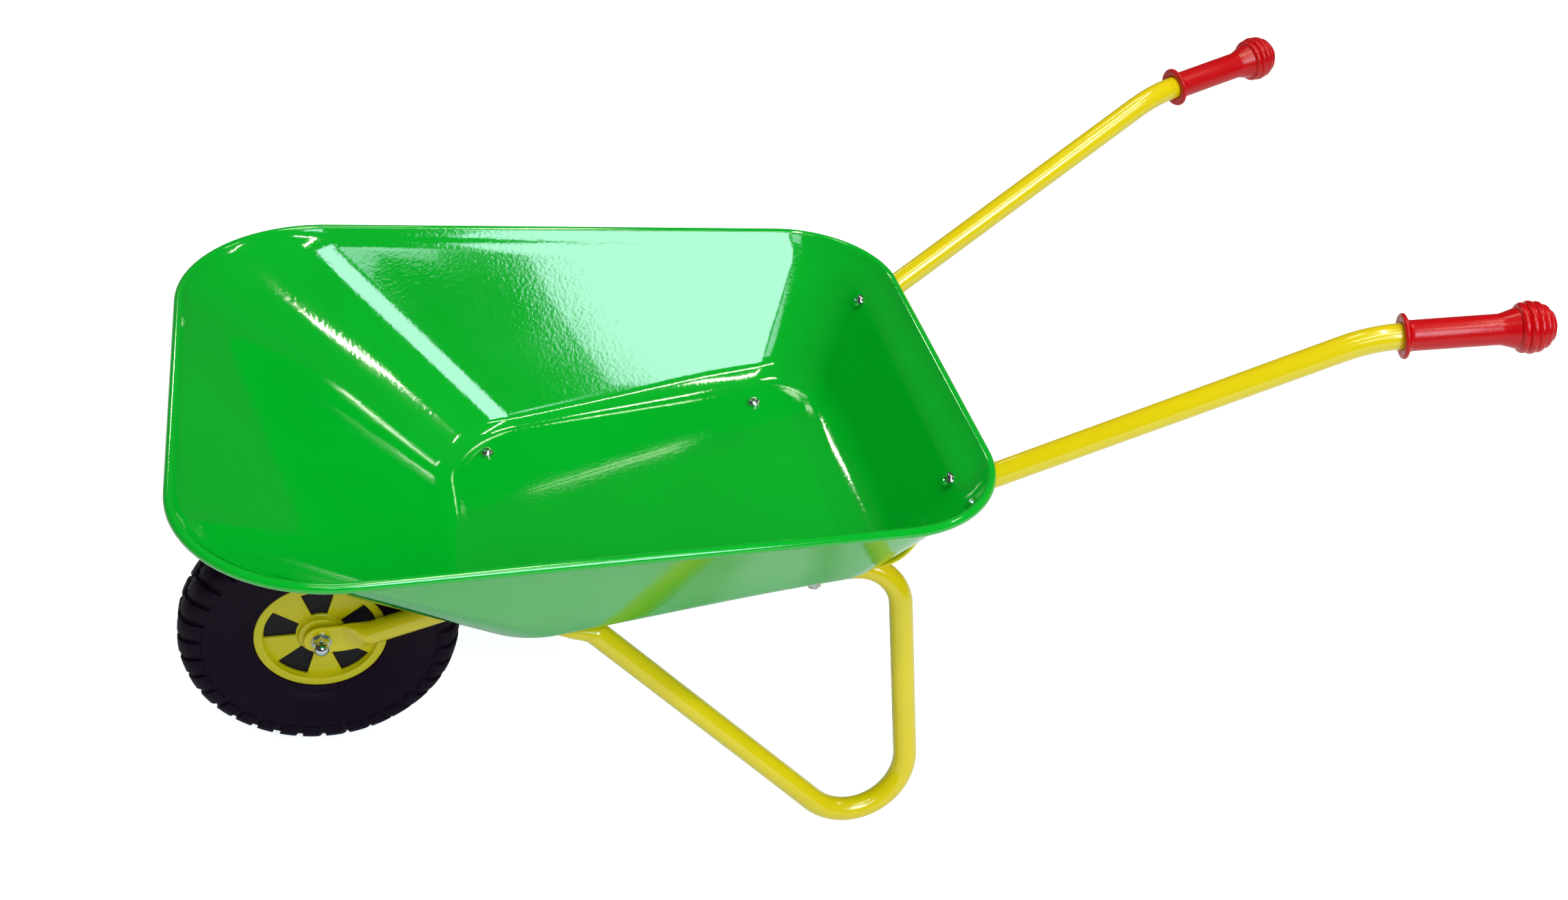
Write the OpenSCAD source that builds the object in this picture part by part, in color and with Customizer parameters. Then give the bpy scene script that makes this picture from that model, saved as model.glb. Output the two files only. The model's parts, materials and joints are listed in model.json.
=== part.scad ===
// Child's steel wheelbarrow: pressed tray, two bent frame tubes, two handle tubes, one wheel.
// +X points back towards the handles, +Z is up, and the left side is -Y.
// The origin is on the ground, under the middle of the whole barrow.

/* [Tray] */
// Length over the rolled rim, front to back
tray_length = 465.8; // [420:1:540]
// Width over the rim's front corners, before they are rounded
tray_front_width = 386.2; // [340:1:440]
// Width over the rim's back corners, before they are rounded
tray_back_width = 337.2; // [300:1:390]
// Height of the rim's front edge above the ground
rim_front_height = 272.6; // [262:0.2:290]
// Height of the rim's back edge above the ground
rim_back_height = 257.8; // [257:0.2:268]
// How far the rim reaches in front of the axle
tray_overhang = 71.9; // [55:0.1:84]
// Diameter of the rolled rim
bead_d = 6; // [4:0.1:6]
// Thickness of the tray's sheet steel
sheet = 1; // [0.8:0.1:1.6]
// Radius of the rim's front corners
front_corner_r = 87; // [70:1:95]
// Radius of the rim's back corners
back_corner_r = 70; // [55:1:80]
// Radius where the floor turns up into the walls
floor_fillet = 30; // [20:1:34]

/* [Floor] */
// Height of the floor at the front bolts
floor_height = 151.8; // [146:0.2:156]
// Slope of the floor, rising towards the handles
floor_slope = 7.95; // [6:0.05:9]
// Width of the floor's front edge, to where it would meet the side walls
floor_front_width = 218; // [214:1:230]
// Width of the floor's back edge, to where it would meet the side walls
floor_back_width = 226; // [222:1:236]

/* [Tube] */
// Outer diameter of the frame and handle tubes
tube_d = 15; // [13:0.1:16]
// Wall of the frame and handle tubes
tube_wall = 1.2; // [0.8:0.1:1.6]
// Width of a tube where it is pressed flat
flat_w = 22; // [20:0.5:24]

/* [Legs] */
// Distance between the legs where they stand on the ground
stance = 272; // [250:1:300]
// Bend radius at the foot of a leg
foot_bend_r = 36; // [30:1:42]
// Bend radius where the frame tube turns down into the leg
top_bend_r = 27; // [24:1:32]

/* [Handles] */
// Angle that a handle turns outwards, seen from above
splay = 14.5; // [12:0.1:16]
// Height of the handle's bend above the ground
handle_height = 361.6; // [340:0.2:400]
// Distance from the axle back to the handle's bend
handle_reach = 584.3; // [550:0.5:640]
// Diameter of the grip's barrel
grip_d = 17.6; // [17:0.1:20]
// Diameter of the ribbed knob at the grip's end
knob_d = 30.6; // [26:0.1:34]
// Length of the grip from its flange to its tip
grip_length = 84; // [75:0.5:95]

/* [Wheel] */
// Diameter over the tyre's tread
tyre_d = 174.4; // [160:0.2:180]
// Width of the tyre
tyre_w = 41; // [36:0.5:42]
// Diameter of the yellow hub cap
hub_cap_d = 82.8; // [74:0.2:88]
// Width over the two hub caps
hub_w = 24.8; // [22:0.2:26]
// Number of spokes in a hub cap
spokes = 5; // [4:1:6]
// Diameter of the axle
axle_d = 6; // [5:0.1:7]

/* [Bolts] */
// Shank diameter of the tray bolts
bolt_d = 5; // [4:0.1:6]
// Head diameter of the tray bolts
bolt_head_d = 9.4; // [8:0.1:11]
// Running clearance round pins and bolts, on the diameter
clearance = 0.4; // [0.2:0.05:0.8]

/* [Hidden] */
$fn = 64;

sides = [-1, 1];
gap = 0.2;
tray_green = [0.0, 0.62, 0.16];
tube_yellow = [0.95, 0.82, 0.0];
grip_red = [0.84, 0.0, 0.06];
rubber_black = [0.07, 0.05, 0.08];
steel_grey = [0.78, 0.78, 0.80];

// ---- vectors, in the barrow's own plane of symmetry x = 0 at the axle ----
function unit(v) = v / norm(v);
function mix(a, b, t) = a + (b - a) * t;
function turn_of(a, p, b) = acos(max(-1, min(1, unit(p - a) * unit(b - p))));
function tangent_of(a, p, b, r) = r * tan(turn_of(a, p, b) / 2);

// ---- wheel and axle ----
tyre_r = tyre_d / 2;
axle_z = tyre_r;
cap_r = hub_cap_d / 2;
cap_t = 1.6;
cap_recess = 3.4;
boss_r = 13.9;
cap_ring_w = 5.6;
core_r = cap_r - 2.5;
flat_t = 2 * tube_wall;
bush_flange_t = 0.8;
bush_flange_r = 6;
bush_r = axle_d / 2 + 1.6;
inner_washer_r = axle_d / 2 + 1.8;
eye_r = flat_w / 2 - 0.4;
eye_in = hub_w / 2 + bush_flange_t + gap + 1.1;
eye_mid = eye_in + flat_t / 2;
eye_out = eye_in + flat_t;
axle_washer_t = 1.2;
axle_nut_hex = 10;
axle_nut_h = 5;
axle_nut_dome_r = 4.7;

// ---- tray: floor, lip and rim outlines ----
bead_r = bead_d / 2;
rim_front_x = -tray_overhang + bead_r;
rim_back_x = tray_length - tray_overhang - bead_r;
bolt_front_x = 115;
bolt_rear_x = 296.2;
bolt_front_y = 82;
bolt_rear_y = 83;
floor_front_x = 86;
floor_back_x = 341;
function floor_z(x) = floor_height + (x - bolt_front_x) * tan(floor_slope);
function rim_z(x) = mix(rim_front_height, rim_back_height,
    (x - rim_front_x) / (rim_back_x - rim_front_x));
lip_front = 10;
lip_side = 9;
lip_back = 19;
lip_drop_front = 5;
lip_drop_back = 12.4;
lip_front_x = rim_front_x + lip_front;
lip_back_x = rim_back_x - lip_back;
lip_blend = 5;
function lip_z(x) = rim_z(x) - mix(lip_drop_front, lip_drop_back,
    (x - lip_front_x) / (lip_back_x - lip_front_x));
back_wall_angle = atan2(lip_z(lip_back_x) - floor_z(floor_back_x), lip_back_x - floor_back_x);
wall_bolt_up = 4.6;

corner_steps = 8;
fillet_steps = 5;
lip_steps = 3;

// Plan corners of an outline, counter-clockwise from the front left
function plan_corners(x0, x1, half0, half1) =
    [[x0, -half0], [x1, -half1], [x1, half1], [x0, half0]];
function left_of(u) = [-u[1], u[0]];
function turned(v, a) = [v[0] * cos(a) - v[1] * sin(a), v[0] * sin(a) + v[1] * cos(a)];
// Outward plan normals and points round one corner
function corner_normals(a, p, b) =
    let (u = unit(p - a), turn = turn_of(a, p, b))
    [for (i = [0:corner_steps]) -turned(left_of(u), turn * i / corner_steps)];
function corner_points(a, p, b, r) =
    let (u = unit(p - a), centre = p - u * tangent_of(a, p, b, r) + left_of(u) * r)
    [for (n = corner_normals(a, p, b)) centre + n * r];
function outline(c, radii) =
    [for (k = [0:3]) each corner_points(c[(k + 3) % 4], c[k], c[(k + 1) % 4], radii[k])];
function outline_normals(c) =
    [for (k = [0:3]) each corner_normals(c[(k + 3) % 4], c[k], c[(k + 1) % 4])];

floor_corners = plan_corners(floor_front_x, floor_back_x, floor_front_width / 2, floor_back_width / 2);
lip_corners = plan_corners(lip_front_x, lip_back_x,
    tray_front_width / 2 - bead_r - lip_side, tray_back_width / 2 - bead_r - lip_side - 3);
rim_corners = plan_corners(rim_front_x, rim_back_x,
    tray_front_width / 2 - bead_r, tray_back_width / 2 - bead_r);
floor_front_r = 55;
floor_back_r = 38;
lip_front_r = front_corner_r - 4;
lip_back_r = back_corner_r - 25;
floor_outline = outline(floor_corners, [floor_front_r, floor_back_r, floor_back_r, floor_front_r]);
lip_outline = outline(lip_corners, [lip_front_r, lip_back_r, lip_back_r, lip_front_r]);
rim_outline = outline(rim_corners, [front_corner_r, back_corner_r, back_corner_r, front_corner_r]);
rim_normals = outline_normals(rim_corners);
ring_n = len(rim_outline);

function on_floor(p) = [p[0], p[1], floor_z(p[0])];
function on_lip(p) = [p[0], p[1], lip_z(p[0])];
function on_rim(p) = [p[0], p[1], rim_z(p[0])];
function bezier(a, b, c, t) = (1 - t) * (1 - t) * a + 2 * t * (1 - t) * b + t * t * c;

// Inner surface of the sheet at outline place i, from the floor's edge to the bead
function section(i) =
    let (n = rim_normals[i], f = on_floor(floor_outline[i]), l = on_lip(lip_outline[i]),
        r = on_rim(rim_outline[i]), wall = unit(l - f), lip = unit(r - l),
        rise = acos(norm([wall[0], wall[1]])), run = floor_fillet * tan(rise / 2),
        start = on_floor(floor_outline[i] - n * run),
        bead_in = r + bead_r * (-0.94 * [n[0], n[1], 0] + [0, 0, 0.34]))
    [for (k = [0:fillet_steps]) bezier(start, f, f + wall * run, k / fillet_steps),
     for (k = [0:lip_steps]) bezier(l - wall * lip_blend, l, mix(l, bead_in, 0.45), k / lip_steps),
     bead_in];
section_n = fillet_steps + lip_steps + 3;
// The sheet's outer side below an inner point: a step along the section's own normal
function outer_point(s, i, j) =
    let (n = rim_normals[i], a = s[max(j - 1, 0)], b = s[min(j + 1, section_n - 1)],
        along = (b - a) * [n[0], n[1], 0], up = b[2] - a[2], size = norm([along, up]))
    j == 0 ? s[0] - [0, 0, sheet / cos(floor_slope)]
        : s[j] + sheet / size * [n[0] * up, n[1] * up, -along];
bead_angles = [120, 84, 48, 12, -24, -60, -96, -132];
function bead_point(i, a) =
    on_rim(rim_outline[i]) + bead_r * [rim_normals[i][0] * cos(a), rim_normals[i][1] * cos(a), sin(a)];
// One closed strip of the sheet, inside up to the bead, round it and back down outside
function strip(i) = let (s = section(i))
    [each s, for (a = bead_angles) bead_point(i, a),
     for (j = [section_n - 2:-1:0]) outer_point(s, i, j)];
strip_n = section_n + len(bead_angles) + section_n - 1;

module tray_sheet() {
    strips = [for (i = [0:ring_n - 1]) strip(i)];
    points = [for (s = strips) each s];
    function at(i, j) = (i % ring_n) * strip_n + j;
    lower = [for (i = [0:ring_n - 1]) for (j = [0:strip_n - 2])
        [at(i, j), at(i + 1, j + 1), at(i, j + 1)]];
    upper = [for (i = [0:ring_n - 1]) for (j = [0:strip_n - 2])
        [at(i, j), at(i + 1, j), at(i + 1, j + 1)]];
    top = [for (i = [ring_n - 1:-1:0]) at(i, 0)];
    bottom = [for (i = [0:ring_n - 1]) at(i, strip_n - 1)];
    polyhedron(points, concat(lower, upper, [top, bottom]), convexity = 6);
}

// ---- tubes ----
tube_r = tube_d / 2;
strap_z = sheet + gap + flat_t;
function under_floor(x, d) = floor_z(x) - d / cos(floor_slope);
rail_depth = strap_z + gap + tube_r;
fork_bend = [24, eye_mid + 0.9, axle_z + 0.9];
fork_clear_x = 58.8;
fork_clear = [fork_clear_x, tyre_w / 2 + tube_r + 3.1, axle_z + 24.1];
fork_dir = unit(fork_clear - fork_bend);
fork_x = fork_bend[0] + (under_floor(0, rail_depth) - fork_bend[2] + fork_bend[0] * tan(floor_slope))
    / (fork_dir[2] / fork_dir[0] - tan(floor_slope));
fork_top = fork_bend + fork_dir * (fork_x - fork_bend[0]) / fork_dir[0];
rear_fix = [bolt_rear_x, bolt_rear_y, under_floor(bolt_rear_x, rail_depth)];
leg_top_x = 350;
fork_bend_r = 60;
leg_top = fork_top + (rear_fix - fork_top) * (leg_top_x - fork_top[0]) / (rear_fix[0] - fork_top[0]);
leg_front = [161, 100.8, under_floor(161, sheet + tube_r + 2.2)];
foot_x = 364.9;
foot_lean = 14.4;

// Lowest height reached by the bend at the foot, for a corner at p
function bend_normal(a, p, b) = unit(cross(unit(p - a), unit(b - p)));
function bend_centre(a, p, b, r) =
    let (u = unit(p - a), n = bend_normal(a, p, b))
    p - u * tangent_of(a, p, b, r) + cross(n, u) * r;
function foot_low(p) =
    let (n = bend_normal(leg_top, p, leg_front))
    bend_centre(leg_top, p, leg_front, foot_bend_r)[2]
        - foot_bend_r * norm([n[0], n[1]]) - tube_r;
// The foot's corner is moved down until the bend just stands on the ground
function settled(p, k) = k == 0 ? p : settled(p - [0, 0, foot_low(p)], k - 1);
foot = settled([foot_x, stance / 2 + foot_lean, -49], 12);

wall_dir = [cos(back_wall_angle), sin(back_wall_angle)];
wall_out = [sin(back_wall_angle), -cos(back_wall_angle)];
lip_back_at = [lip_back_x, lip_z(lip_back_x)];
wall_bolt_at = lip_back_at - wall_dir * wall_bolt_up;
wall_bolt_y = bolt_rear_y + (wall_bolt_at[0] - bolt_rear_x) * tan(splay);
wall_line = lip_back_at + wall_out * (sheet + 1.5 * gap + tube_r);
handle_bend = [handle_reach, handle_height];
rim_clear = 0.5;
rim_pass = [rim_back_x - 1.2, rim_back_height - (bead_r + tube_r + rim_clear) / cos(30.8)];
function crossing(p, u, q, v) = p + u * ((q - p) * [v[1], -v[0]]) / (u * [v[1], -v[0]]);
handle_knee = crossing(wall_line, wall_dir, rim_pass, handle_bend - rim_pass);
knee_bend_r = 30;
grip_bend_r = 40;
grip_rise = 10.4;
grip_dir = [cos(grip_rise), sin(grip_rise)];
flange_run = 17.6;
grip_stretch = norm([cos(grip_rise) / cos(splay), sin(grip_rise)]);
function along_grip(d) = handle_bend + grip_dir * (flange_run + d) / grip_stretch;
grip_bore_depth = 56;
grip_end_gap = 0.3;
tube_end = along_grip(grip_bore_depth - grip_end_gap);
flatten_run = 22;
round_start = handle_knee - wall_dir * 18;

// Turns the handle's own plane, x back and z up, to its splay about the rear floor bolt
module in_handle_plane() {
    translate([bolt_rear_x, bolt_rear_y, 0]) rotate([0, 0, splay])
        translate([-bolt_rear_x / cos(splay), 0, 0]) children();
}
function in_plane(p) = [p[0] / cos(splay), 0, p[1]];
function handle_place(p) = [p[0], bolt_rear_y + (p[0] - bolt_rear_x) * tan(splay), p[1]];

knob_r = knob_d / 2;
tip_r = 14.1;
tip_x = handle_place(along_grip(grip_length - tip_r))[0] + tip_r;
mid_x = (tip_x - tyre_r) / 2;

// Puts a shape into the part's frame, mirrored to the side that is wanted
module placed(side = 1) {
    translate([-mid_x, 0, 0]) mirror([0, side < 0 ? 1 : 0, 0]) children();
}

// Frame at p whose z runs along u and whose x lies across n
module aligned(p, u, n) {
    z = unit(u);
    x = unit(cross(n, z));
    y = cross(z, x);
    multmatrix([[x[0], y[0], z[0], p[0]], [x[1], y[1], z[1], p[1]], [x[2], y[2], z[2], p[2]]])
        children();
}

// ---- swept tubes ----
// A ring is [place, direction, flat side's normal, half width, half thickness, flatness, quarter turns]
ring_sides = 20;
function ring_point(r, i) =
    let (u = unit(r[1]), y = unit(r[2] - u * (u * r[2])), x = cross(y, u),
        a = 360 * i / ring_sides + 90 * r[6], flat_y = abs(sin(a)) < 0.2 ? 0 : sign(sin(a)))
    r[0] + x * (r[3] * cos(a)) + y * (r[4] * mix(sin(a), flat_y, r[5]));
function round_ring(p, u, n, r, q = 0) = [p, u, n, r, r, 0, q];
// Rings of a pressed end: a rounded tip at p, open towards u
function tip_rings(p, u, n, r, q = 0) = [for (a = [14, 38, 64, 90])
    [p - unit(u) * r * cos(a), u, n, r * sin(a), flat_t / 2, 1, q]];
// Rings from a flat section at a to a round one at b
press_steps = 4;
function pressed_rings(a, b, u0, u1, n, w, q = 0) = [for (k = [0:press_steps])
    let (t = k / press_steps, f = (1 - cos(180 * t)) / 2)
    [mix(a, b, t), mix(u0, u1, t), n, mix(w, tube_r, f),
        mix(flat_t / 2, tube_r, f), 1 - f, q]];
// Rings round the bend at p between a and b
function bend_rings(a, p, b, r, n, size) =
    let (u = unit(p - a), axis = bend_normal(a, p, b), centre = bend_centre(a, p, b, r),
        out = -cross(axis, u), turn = turn_of(a, p, b), steps = max(2, ceil(turn / 9)))
    [for (k = [0:steps]) let (c = turn * k / steps)
        round_ring(centre + (out * cos(c) + u * sin(c)) * r, u * cos(c) - out * sin(c), n, size)];
module swept(rings) {
    n = len(rings);
    points = [for (r = rings) for (i = [0:ring_sides - 1]) ring_point(r, i)];
    function at(j, i) = j * ring_sides + i % ring_sides;
    near = [for (j = [0:n - 2]) for (i = [0:ring_sides - 1]) [at(j, i), at(j + 1, i), at(j + 1, i + 1)]];
    far = [for (j = [0:n - 2]) for (i = [0:ring_sides - 1]) [at(j, i), at(j + 1, i + 1), at(j, i + 1)]];
    polyhedron(points, concat(near, far, [[for (i = [0:ring_sides - 1]) at(0, i)],
        [for (i = [ring_sides - 1:-1:0]) at(n - 1, i)]]), convexity = 8);
}

side_normal = [0, 1, 0];
floor_normal = [-sin(floor_slope), 0, cos(floor_slope)];
fork_start = fork_bend + fork_dir * 12;
tab_at = [bolt_front_x, bolt_front_y, under_floor(bolt_front_x, sheet + gap + flat_t / 2)];
tab_dir = unit([leg_front[0] - bolt_front_x, leg_front[1] - bolt_front_y,
    (leg_front[0] - bolt_front_x) * tan(floor_slope)]);
tab_length = 24;
leg_dir = unit(leg_front - foot);
function frame_rings(size) = concat(
    [round_ring(fork_start, fork_dir, side_normal, size)],
    bend_rings(fork_start, fork_top, leg_top, fork_bend_r, side_normal, size),
    bend_rings(fork_top, leg_top, foot, top_bend_r, side_normal, size),
    bend_rings(leg_top, foot, leg_front, foot_bend_r, side_normal, size),
    [round_ring(leg_front, leg_dir, side_normal, size)]);

module frame_tube() {
    eye_at = [0, eye_mid, axle_z];
    ahead = [1, 0, 0];
    eye = concat(tip_rings(eye_at, ahead, side_normal, eye_r),
        pressed_rings(eye_at + 12 * ahead, fork_start - fork_dir, ahead, fork_dir, side_normal, eye_r));
    tab_end = tab_at + tab_dir * tab_length;
    back = [for (r = concat(tip_rings(tab_at, tab_dir, floor_normal, flat_w / 2, -1),
        pressed_rings(tab_end, leg_front + leg_dir, tab_dir, -leg_dir, floor_normal, flat_w / 2, -1)))
        [r[0], -r[1], r[2], r[3], r[4], r[5], 1]];
    difference() {
        swept(concat(eye, frame_rings(tube_r), [for (k = [len(back) - 1:-1:0]) back[k]]));
        swept(frame_rings(tube_r - tube_wall));
        translate(eye_at) rotate([90, 0, 0])
            cylinder(h = flat_t + 2, d = axle_d + clearance, center = true);
        on_floor_bolt(bolt_front_x, bolt_front_y)
            cylinder(h = 12, d = bolt_d + clearance, center = true);
        on_floor_bolt(bolt_rear_x, bolt_rear_y)
            cylinder(h = 60, d = bolt_d + clearance, center = true);
    }
}

// A bolt's own axis: origin on the tray's inner surface, z into the tray
module on_floor_bolt(x, y) {
    translate([x, y, floor_z(x)]) rotate([0, -floor_slope, 0]) children();
}
module on_wall_bolt() {
    translate([wall_bolt_at[0], wall_bolt_y, wall_bolt_at[1]])
        rotate([0, -back_wall_angle, 0]) children();
}

module tray() {
    color(tray_green) placed() difference() {
        tray_sheet();
        for (s = sides) mirror([0, s < 0 ? 1 : 0, 0]) {
            on_floor_bolt(bolt_front_x, bolt_front_y) bolt_hole();
            on_floor_bolt(bolt_rear_x, bolt_rear_y) bolt_hole();
            on_wall_bolt() bolt_hole();
        }
    }
}
module bolt_hole() {
    cylinder(h = 6 * sheet, d = bolt_d + clearance, center = true);
}

// ---- handles ----
strap_end = round_start - wall_out * (tube_r - flat_t / 2) - wall_dir * flatten_run;
strap_mid = sheet + 1.5 * gap + flat_t / 2;
function sloped(a) = [cos(a), cos(a) * tan(splay), sin(a)];
function slope_normal(a) = [-sin(a), 0, cos(a)];
// Flat rings against the tray's outer side: along the floor, round its back edge and up the wall
function strap_rings() =
    let (turn = back_wall_angle - floor_slope, run = floor_fillet * tan(turn / 2),
        along = [cos(floor_slope), sin(floor_slope)], up = [-sin(floor_slope), cos(floor_slope)],
        centre = [floor_back_x, floor_z(floor_back_x)] - along * run + up * floor_fillet,
        start = [bolt_rear_x, floor_z(bolt_rear_x)] - up * strap_mid, steps = 8)
    concat(tip_rings(handle_place(start), sloped(floor_slope), floor_normal, flat_w / 2),
        [for (k = [0:steps]) let (a = floor_slope + turn * k / steps)
            [handle_place(centre + (floor_fillet + strap_mid) * [sin(a), -cos(a)]), sloped(a),
                slope_normal(a), flat_w / 2, flat_t / 2, 1, 0]],
        pressed_rings(handle_place(strap_end), handle_place(round_start - wall_dir * 0.5),
            sloped(back_wall_angle), sloped(back_wall_angle), slope_normal(back_wall_angle), flat_w / 2));
function handle_rings(size, end) =
    let (p = [for (q = [round_start, handle_knee, handle_bend, end]) handle_place(q)],
        n = slope_normal(back_wall_angle))
    concat([round_ring(p[0], sloped(back_wall_angle), n, size)],
        bend_rings(p[0], p[1], p[2], knee_bend_r, n, size),
        bend_rings(p[1], p[2], p[3], grip_bend_r, n, size),
        [round_ring(p[3], p[3] - p[2], n, size)]);

module handle() {
    difference() {
        swept(concat(strap_rings(), handle_rings(tube_r, tube_end)));
        swept(handle_rings(tube_r - tube_wall, along_grip(grip_bore_depth + 1)));
        on_floor_bolt(bolt_rear_x, bolt_rear_y)
            cylinder(h = 20, d = bolt_d + clearance, center = true);
        on_wall_bolt() translate([0, 0, -24]) cylinder(h = 30, d = bolt_d + clearance);
    }
}

module grip() {
    flange_r = 13;
    flare_at = 52;
    knob_at = grip_length - tip_r;
    grip_r = grip_d / 2;
    rib_r = 1.4;
    core = knob_r - rib_r;
    steps = 10;
    difference() {
        rotate_extrude() {
            polygon([[0, -1.2], [flange_r - 1, -1.8], [flange_r, -0.4], [flange_r - 0.4, 1],
                [grip_r + 2, 1.6], [grip_r, 3.4], [grip_r, flare_at],
                for (i = [1:steps]) let (t = i / steps)
                    [mix(grip_r, core, (1 - cos(180 * t)) / 2), mix(flare_at, knob_at - 6, t)],
                [core, knob_at], [0, knob_at]]);
            for (u = [-6.5, -3.3, -0.1]) translate([core, knob_at + u - rib_r]) circle(rib_r, $fn = 24);
            intersection() {
                translate([0, knob_at]) circle(tip_r);
                translate([0, knob_at - 1]) square(tip_r + 1);
            }
        }
        translate([0, 0, -4]) cylinder(h = grip_bore_depth + 4, r = tube_r + gap / 2);
    }
}
module grip_in_place() {
    in_handle_plane() aligned(in_plane(along_grip(0)), in_plane(grip_dir), [0, 1, 0]) grip();
}

// ---- wheel: drawn with its axle along z, then stood up ----
module on_axle() {
    translate([0, 0, axle_z]) rotate([90, 0, 0]) mirror([0, 0, 1]) children();
}
cap_seat = hub_w / 2 - cap_t - gap;

module tyre_shape() {
    half = tyre_w / 2;
    lip = hub_w / 2 + 0.2;
    mid_r = (tyre_r + core_r) / 2;
    flank = [
        [core_r + gap / 2, cap_seat], [cap_r + gap, cap_seat], [cap_r + gap, lip],
        [mix(cap_r, mid_r, 0.35), mix(lip, half, 0.6)], [mid_r - 2, half - 0.6], [mid_r + 3, half],
        [tyre_r - 13, half], [tyre_r - 5, half - 2.6], [tyre_r - 1.5, half - 7], [tyre_r, half - 13]];
    rotate_extrude() polygon([each flank,
        for (i = [len(flank) - 1:-1:0]) [flank[i][0], -flank[i][1]]]);
}

module wheel_core_shape() {
    difference() {
        cylinder(h = 2 * (cap_seat - cap_recess), r = core_r, center = true);
        cylinder(h = hub_w, r = bush_r, center = true);
    }
}

module hub_cap() {
    outer = hub_w / 2;
    web = outer - cap_recess;
    ring_in = cap_r - cap_ring_w;
    window_in = boss_r + 3;
    window_out = ring_in - 1.6;
    pitch = 360 / spokes;
    difference() {
        rotate_extrude() polygon([[bush_r, web - cap_t], [ring_in - 0.2, web - cap_t],
            [ring_in + 0.8, outer - cap_t], [cap_r, outer - cap_t], [cap_r, outer - 0.5],
            [cap_r - 0.6, outer], [ring_in + 0.4, outer], [ring_in - 0.9, web],
            [boss_r + 1, web], [boss_r, outer - 1], [boss_r - 1, outer], [bush_r, outer]]);
        for (k = [0:spokes - 1]) rotate([0, 0, 90 + pitch * (k - 0.25)])
            translate([0, 0, web - 2 * cap_t]) rotate_extrude(angle = pitch / 2)
                translate([window_in, 0]) square([window_out - window_in, 3 * cap_t]);
    }
}

module bush() {
    outer = hub_w / 2;
    difference() {
        union() {
            translate([0, 0, 1]) cylinder(h = outer, r = bush_r - gap / 4);
            translate([0, 0, outer + gap / 2]) cylinder(h = bush_flange_t, r = bush_flange_r);
        }
        cylinder(h = 3 * outer, d = axle_d + clearance / 4);
    }
}

module ring(h, r, bore) {
    difference() {
        cylinder(h = h, r = r);
        translate([0, 0, -1]) cylinder(h = h + 2, d = bore);
    }
}
inner_washer_at = hub_w / 2 + gap / 2 + bush_flange_t + gap;
axle_end = eye_out + axle_washer_t + axle_nut_h;

module dome_nut() {
    at = eye_out + gap / 4 + axle_washer_t + gap / 4;
    translate([0, 0, at]) difference() {
        union() {
            cylinder(h = axle_nut_h, d = axle_nut_hex / cos(30), $fn = 6);
            translate([0, 0, axle_nut_h]) cylinder(h = 1, r = axle_nut_dome_r);
            translate([0, 0, axle_nut_h + 1]) intersection() {
                sphere(r = axle_nut_dome_r);
                cylinder(h = axle_nut_dome_r + 1, r = axle_nut_dome_r + 1);
            }
        }
        translate([0, 0, -1]) cylinder(h = axle_nut_h + 1.2, d = axle_d);
    }
}

// ---- bolts: z along the bolt, the tray's inner surface at z = 0 ----
head_h = 3.2;
nut_hex = 8;
nut_h = 4;
washer_t = 1;
washer_r = 5;
module pan_bolt(grip_length) {
    head_r = bolt_head_d / 2;
    steps = 8;
    difference() {
        union() {
            translate([0, 0, gap / 4]) rotate_extrude() polygon([[0, 0], [head_r, 0],
                for (i = [1:steps]) let (a = 90 * i / steps)
                    [head_r * (0.45 + 0.55 * cos(a)), head_h * (0.35 + 0.65 * sin(a))],
                [0, head_h]]);
            translate([0, 0, -grip_length]) cylinder(h = grip_length + 1, d = bolt_d);
        }
        for (a = [0, 90]) rotate([0, 0, a]) translate([0, 0, head_h])
            cube([head_r, 1, 3.6], center = true);
    }
}
module plain_washer(depth) {
    translate([0, 0, -depth - washer_t]) ring(washer_t, washer_r, bolt_d + clearance);
}
module hex_nut(depth) {
    translate([0, 0, -depth - nut_h]) difference() {
        cylinder(h = nut_h, d = nut_hex / cos(30), $fn = 6);
        translate([0, 0, -1]) cylinder(h = nut_h + 2, d = bolt_d + clearance / 4);
    }
}
module both_sides() {
    for (s = sides) placed(s) children();
}
front_depth = sheet + gap + flat_t + gap / 2;
rear_depth = rail_depth + tube_r + gap / 2;
knee_half_turn = turn_of(round_start, handle_knee, handle_bend) / 2;
knee_lift = 1.25;
wall_depth = sheet + 1.5 * gap + tube_d + gap / 2 + knee_bend_r * (1 / cos(knee_half_turn) - 1)
    + washer_r * sin(knee_half_turn) + knee_lift;
nut_gap = washer_t + gap / 2;
nut_past = nut_gap + nut_h + 1.5;
module at_front_bolts() { both_sides() on_floor_bolt(bolt_front_x, bolt_front_y) children(); }
module at_rear_bolts() { both_sides() on_floor_bolt(bolt_rear_x, bolt_rear_y) children(); }
module at_wall_bolts() { both_sides() on_wall_bolt() children(); }

// ---- nodes ----
module left_frame_tube() { color(tube_yellow) placed(-1) frame_tube(); }
module right_frame_tube() { color(tube_yellow) placed(1) frame_tube(); }
module left_handle() { color(tube_yellow) placed(-1) handle(); }
module right_handle() { color(tube_yellow) placed(1) handle(); }
module left_grip() { color(grip_red) placed(-1) grip_in_place(); }
module right_grip() { color(grip_red) placed(1) grip_in_place(); }
module tyre() { color(rubber_black) placed() on_axle() tyre_shape(); }
module wheel_core() { color(rubber_black) placed() on_axle() wheel_core_shape(); }
module left_hub_cap() { color(tube_yellow) placed(-1) on_axle() hub_cap(); }
module right_hub_cap() { color(tube_yellow) placed(1) on_axle() hub_cap(); }
module hub_bushes() { color(steel_grey) both_sides() on_axle() bush(); }
module axle() {
    color(steel_grey) placed() on_axle()
        cylinder(h = 2 * axle_end, d = axle_d - clearance / 4, center = true);
}
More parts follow.
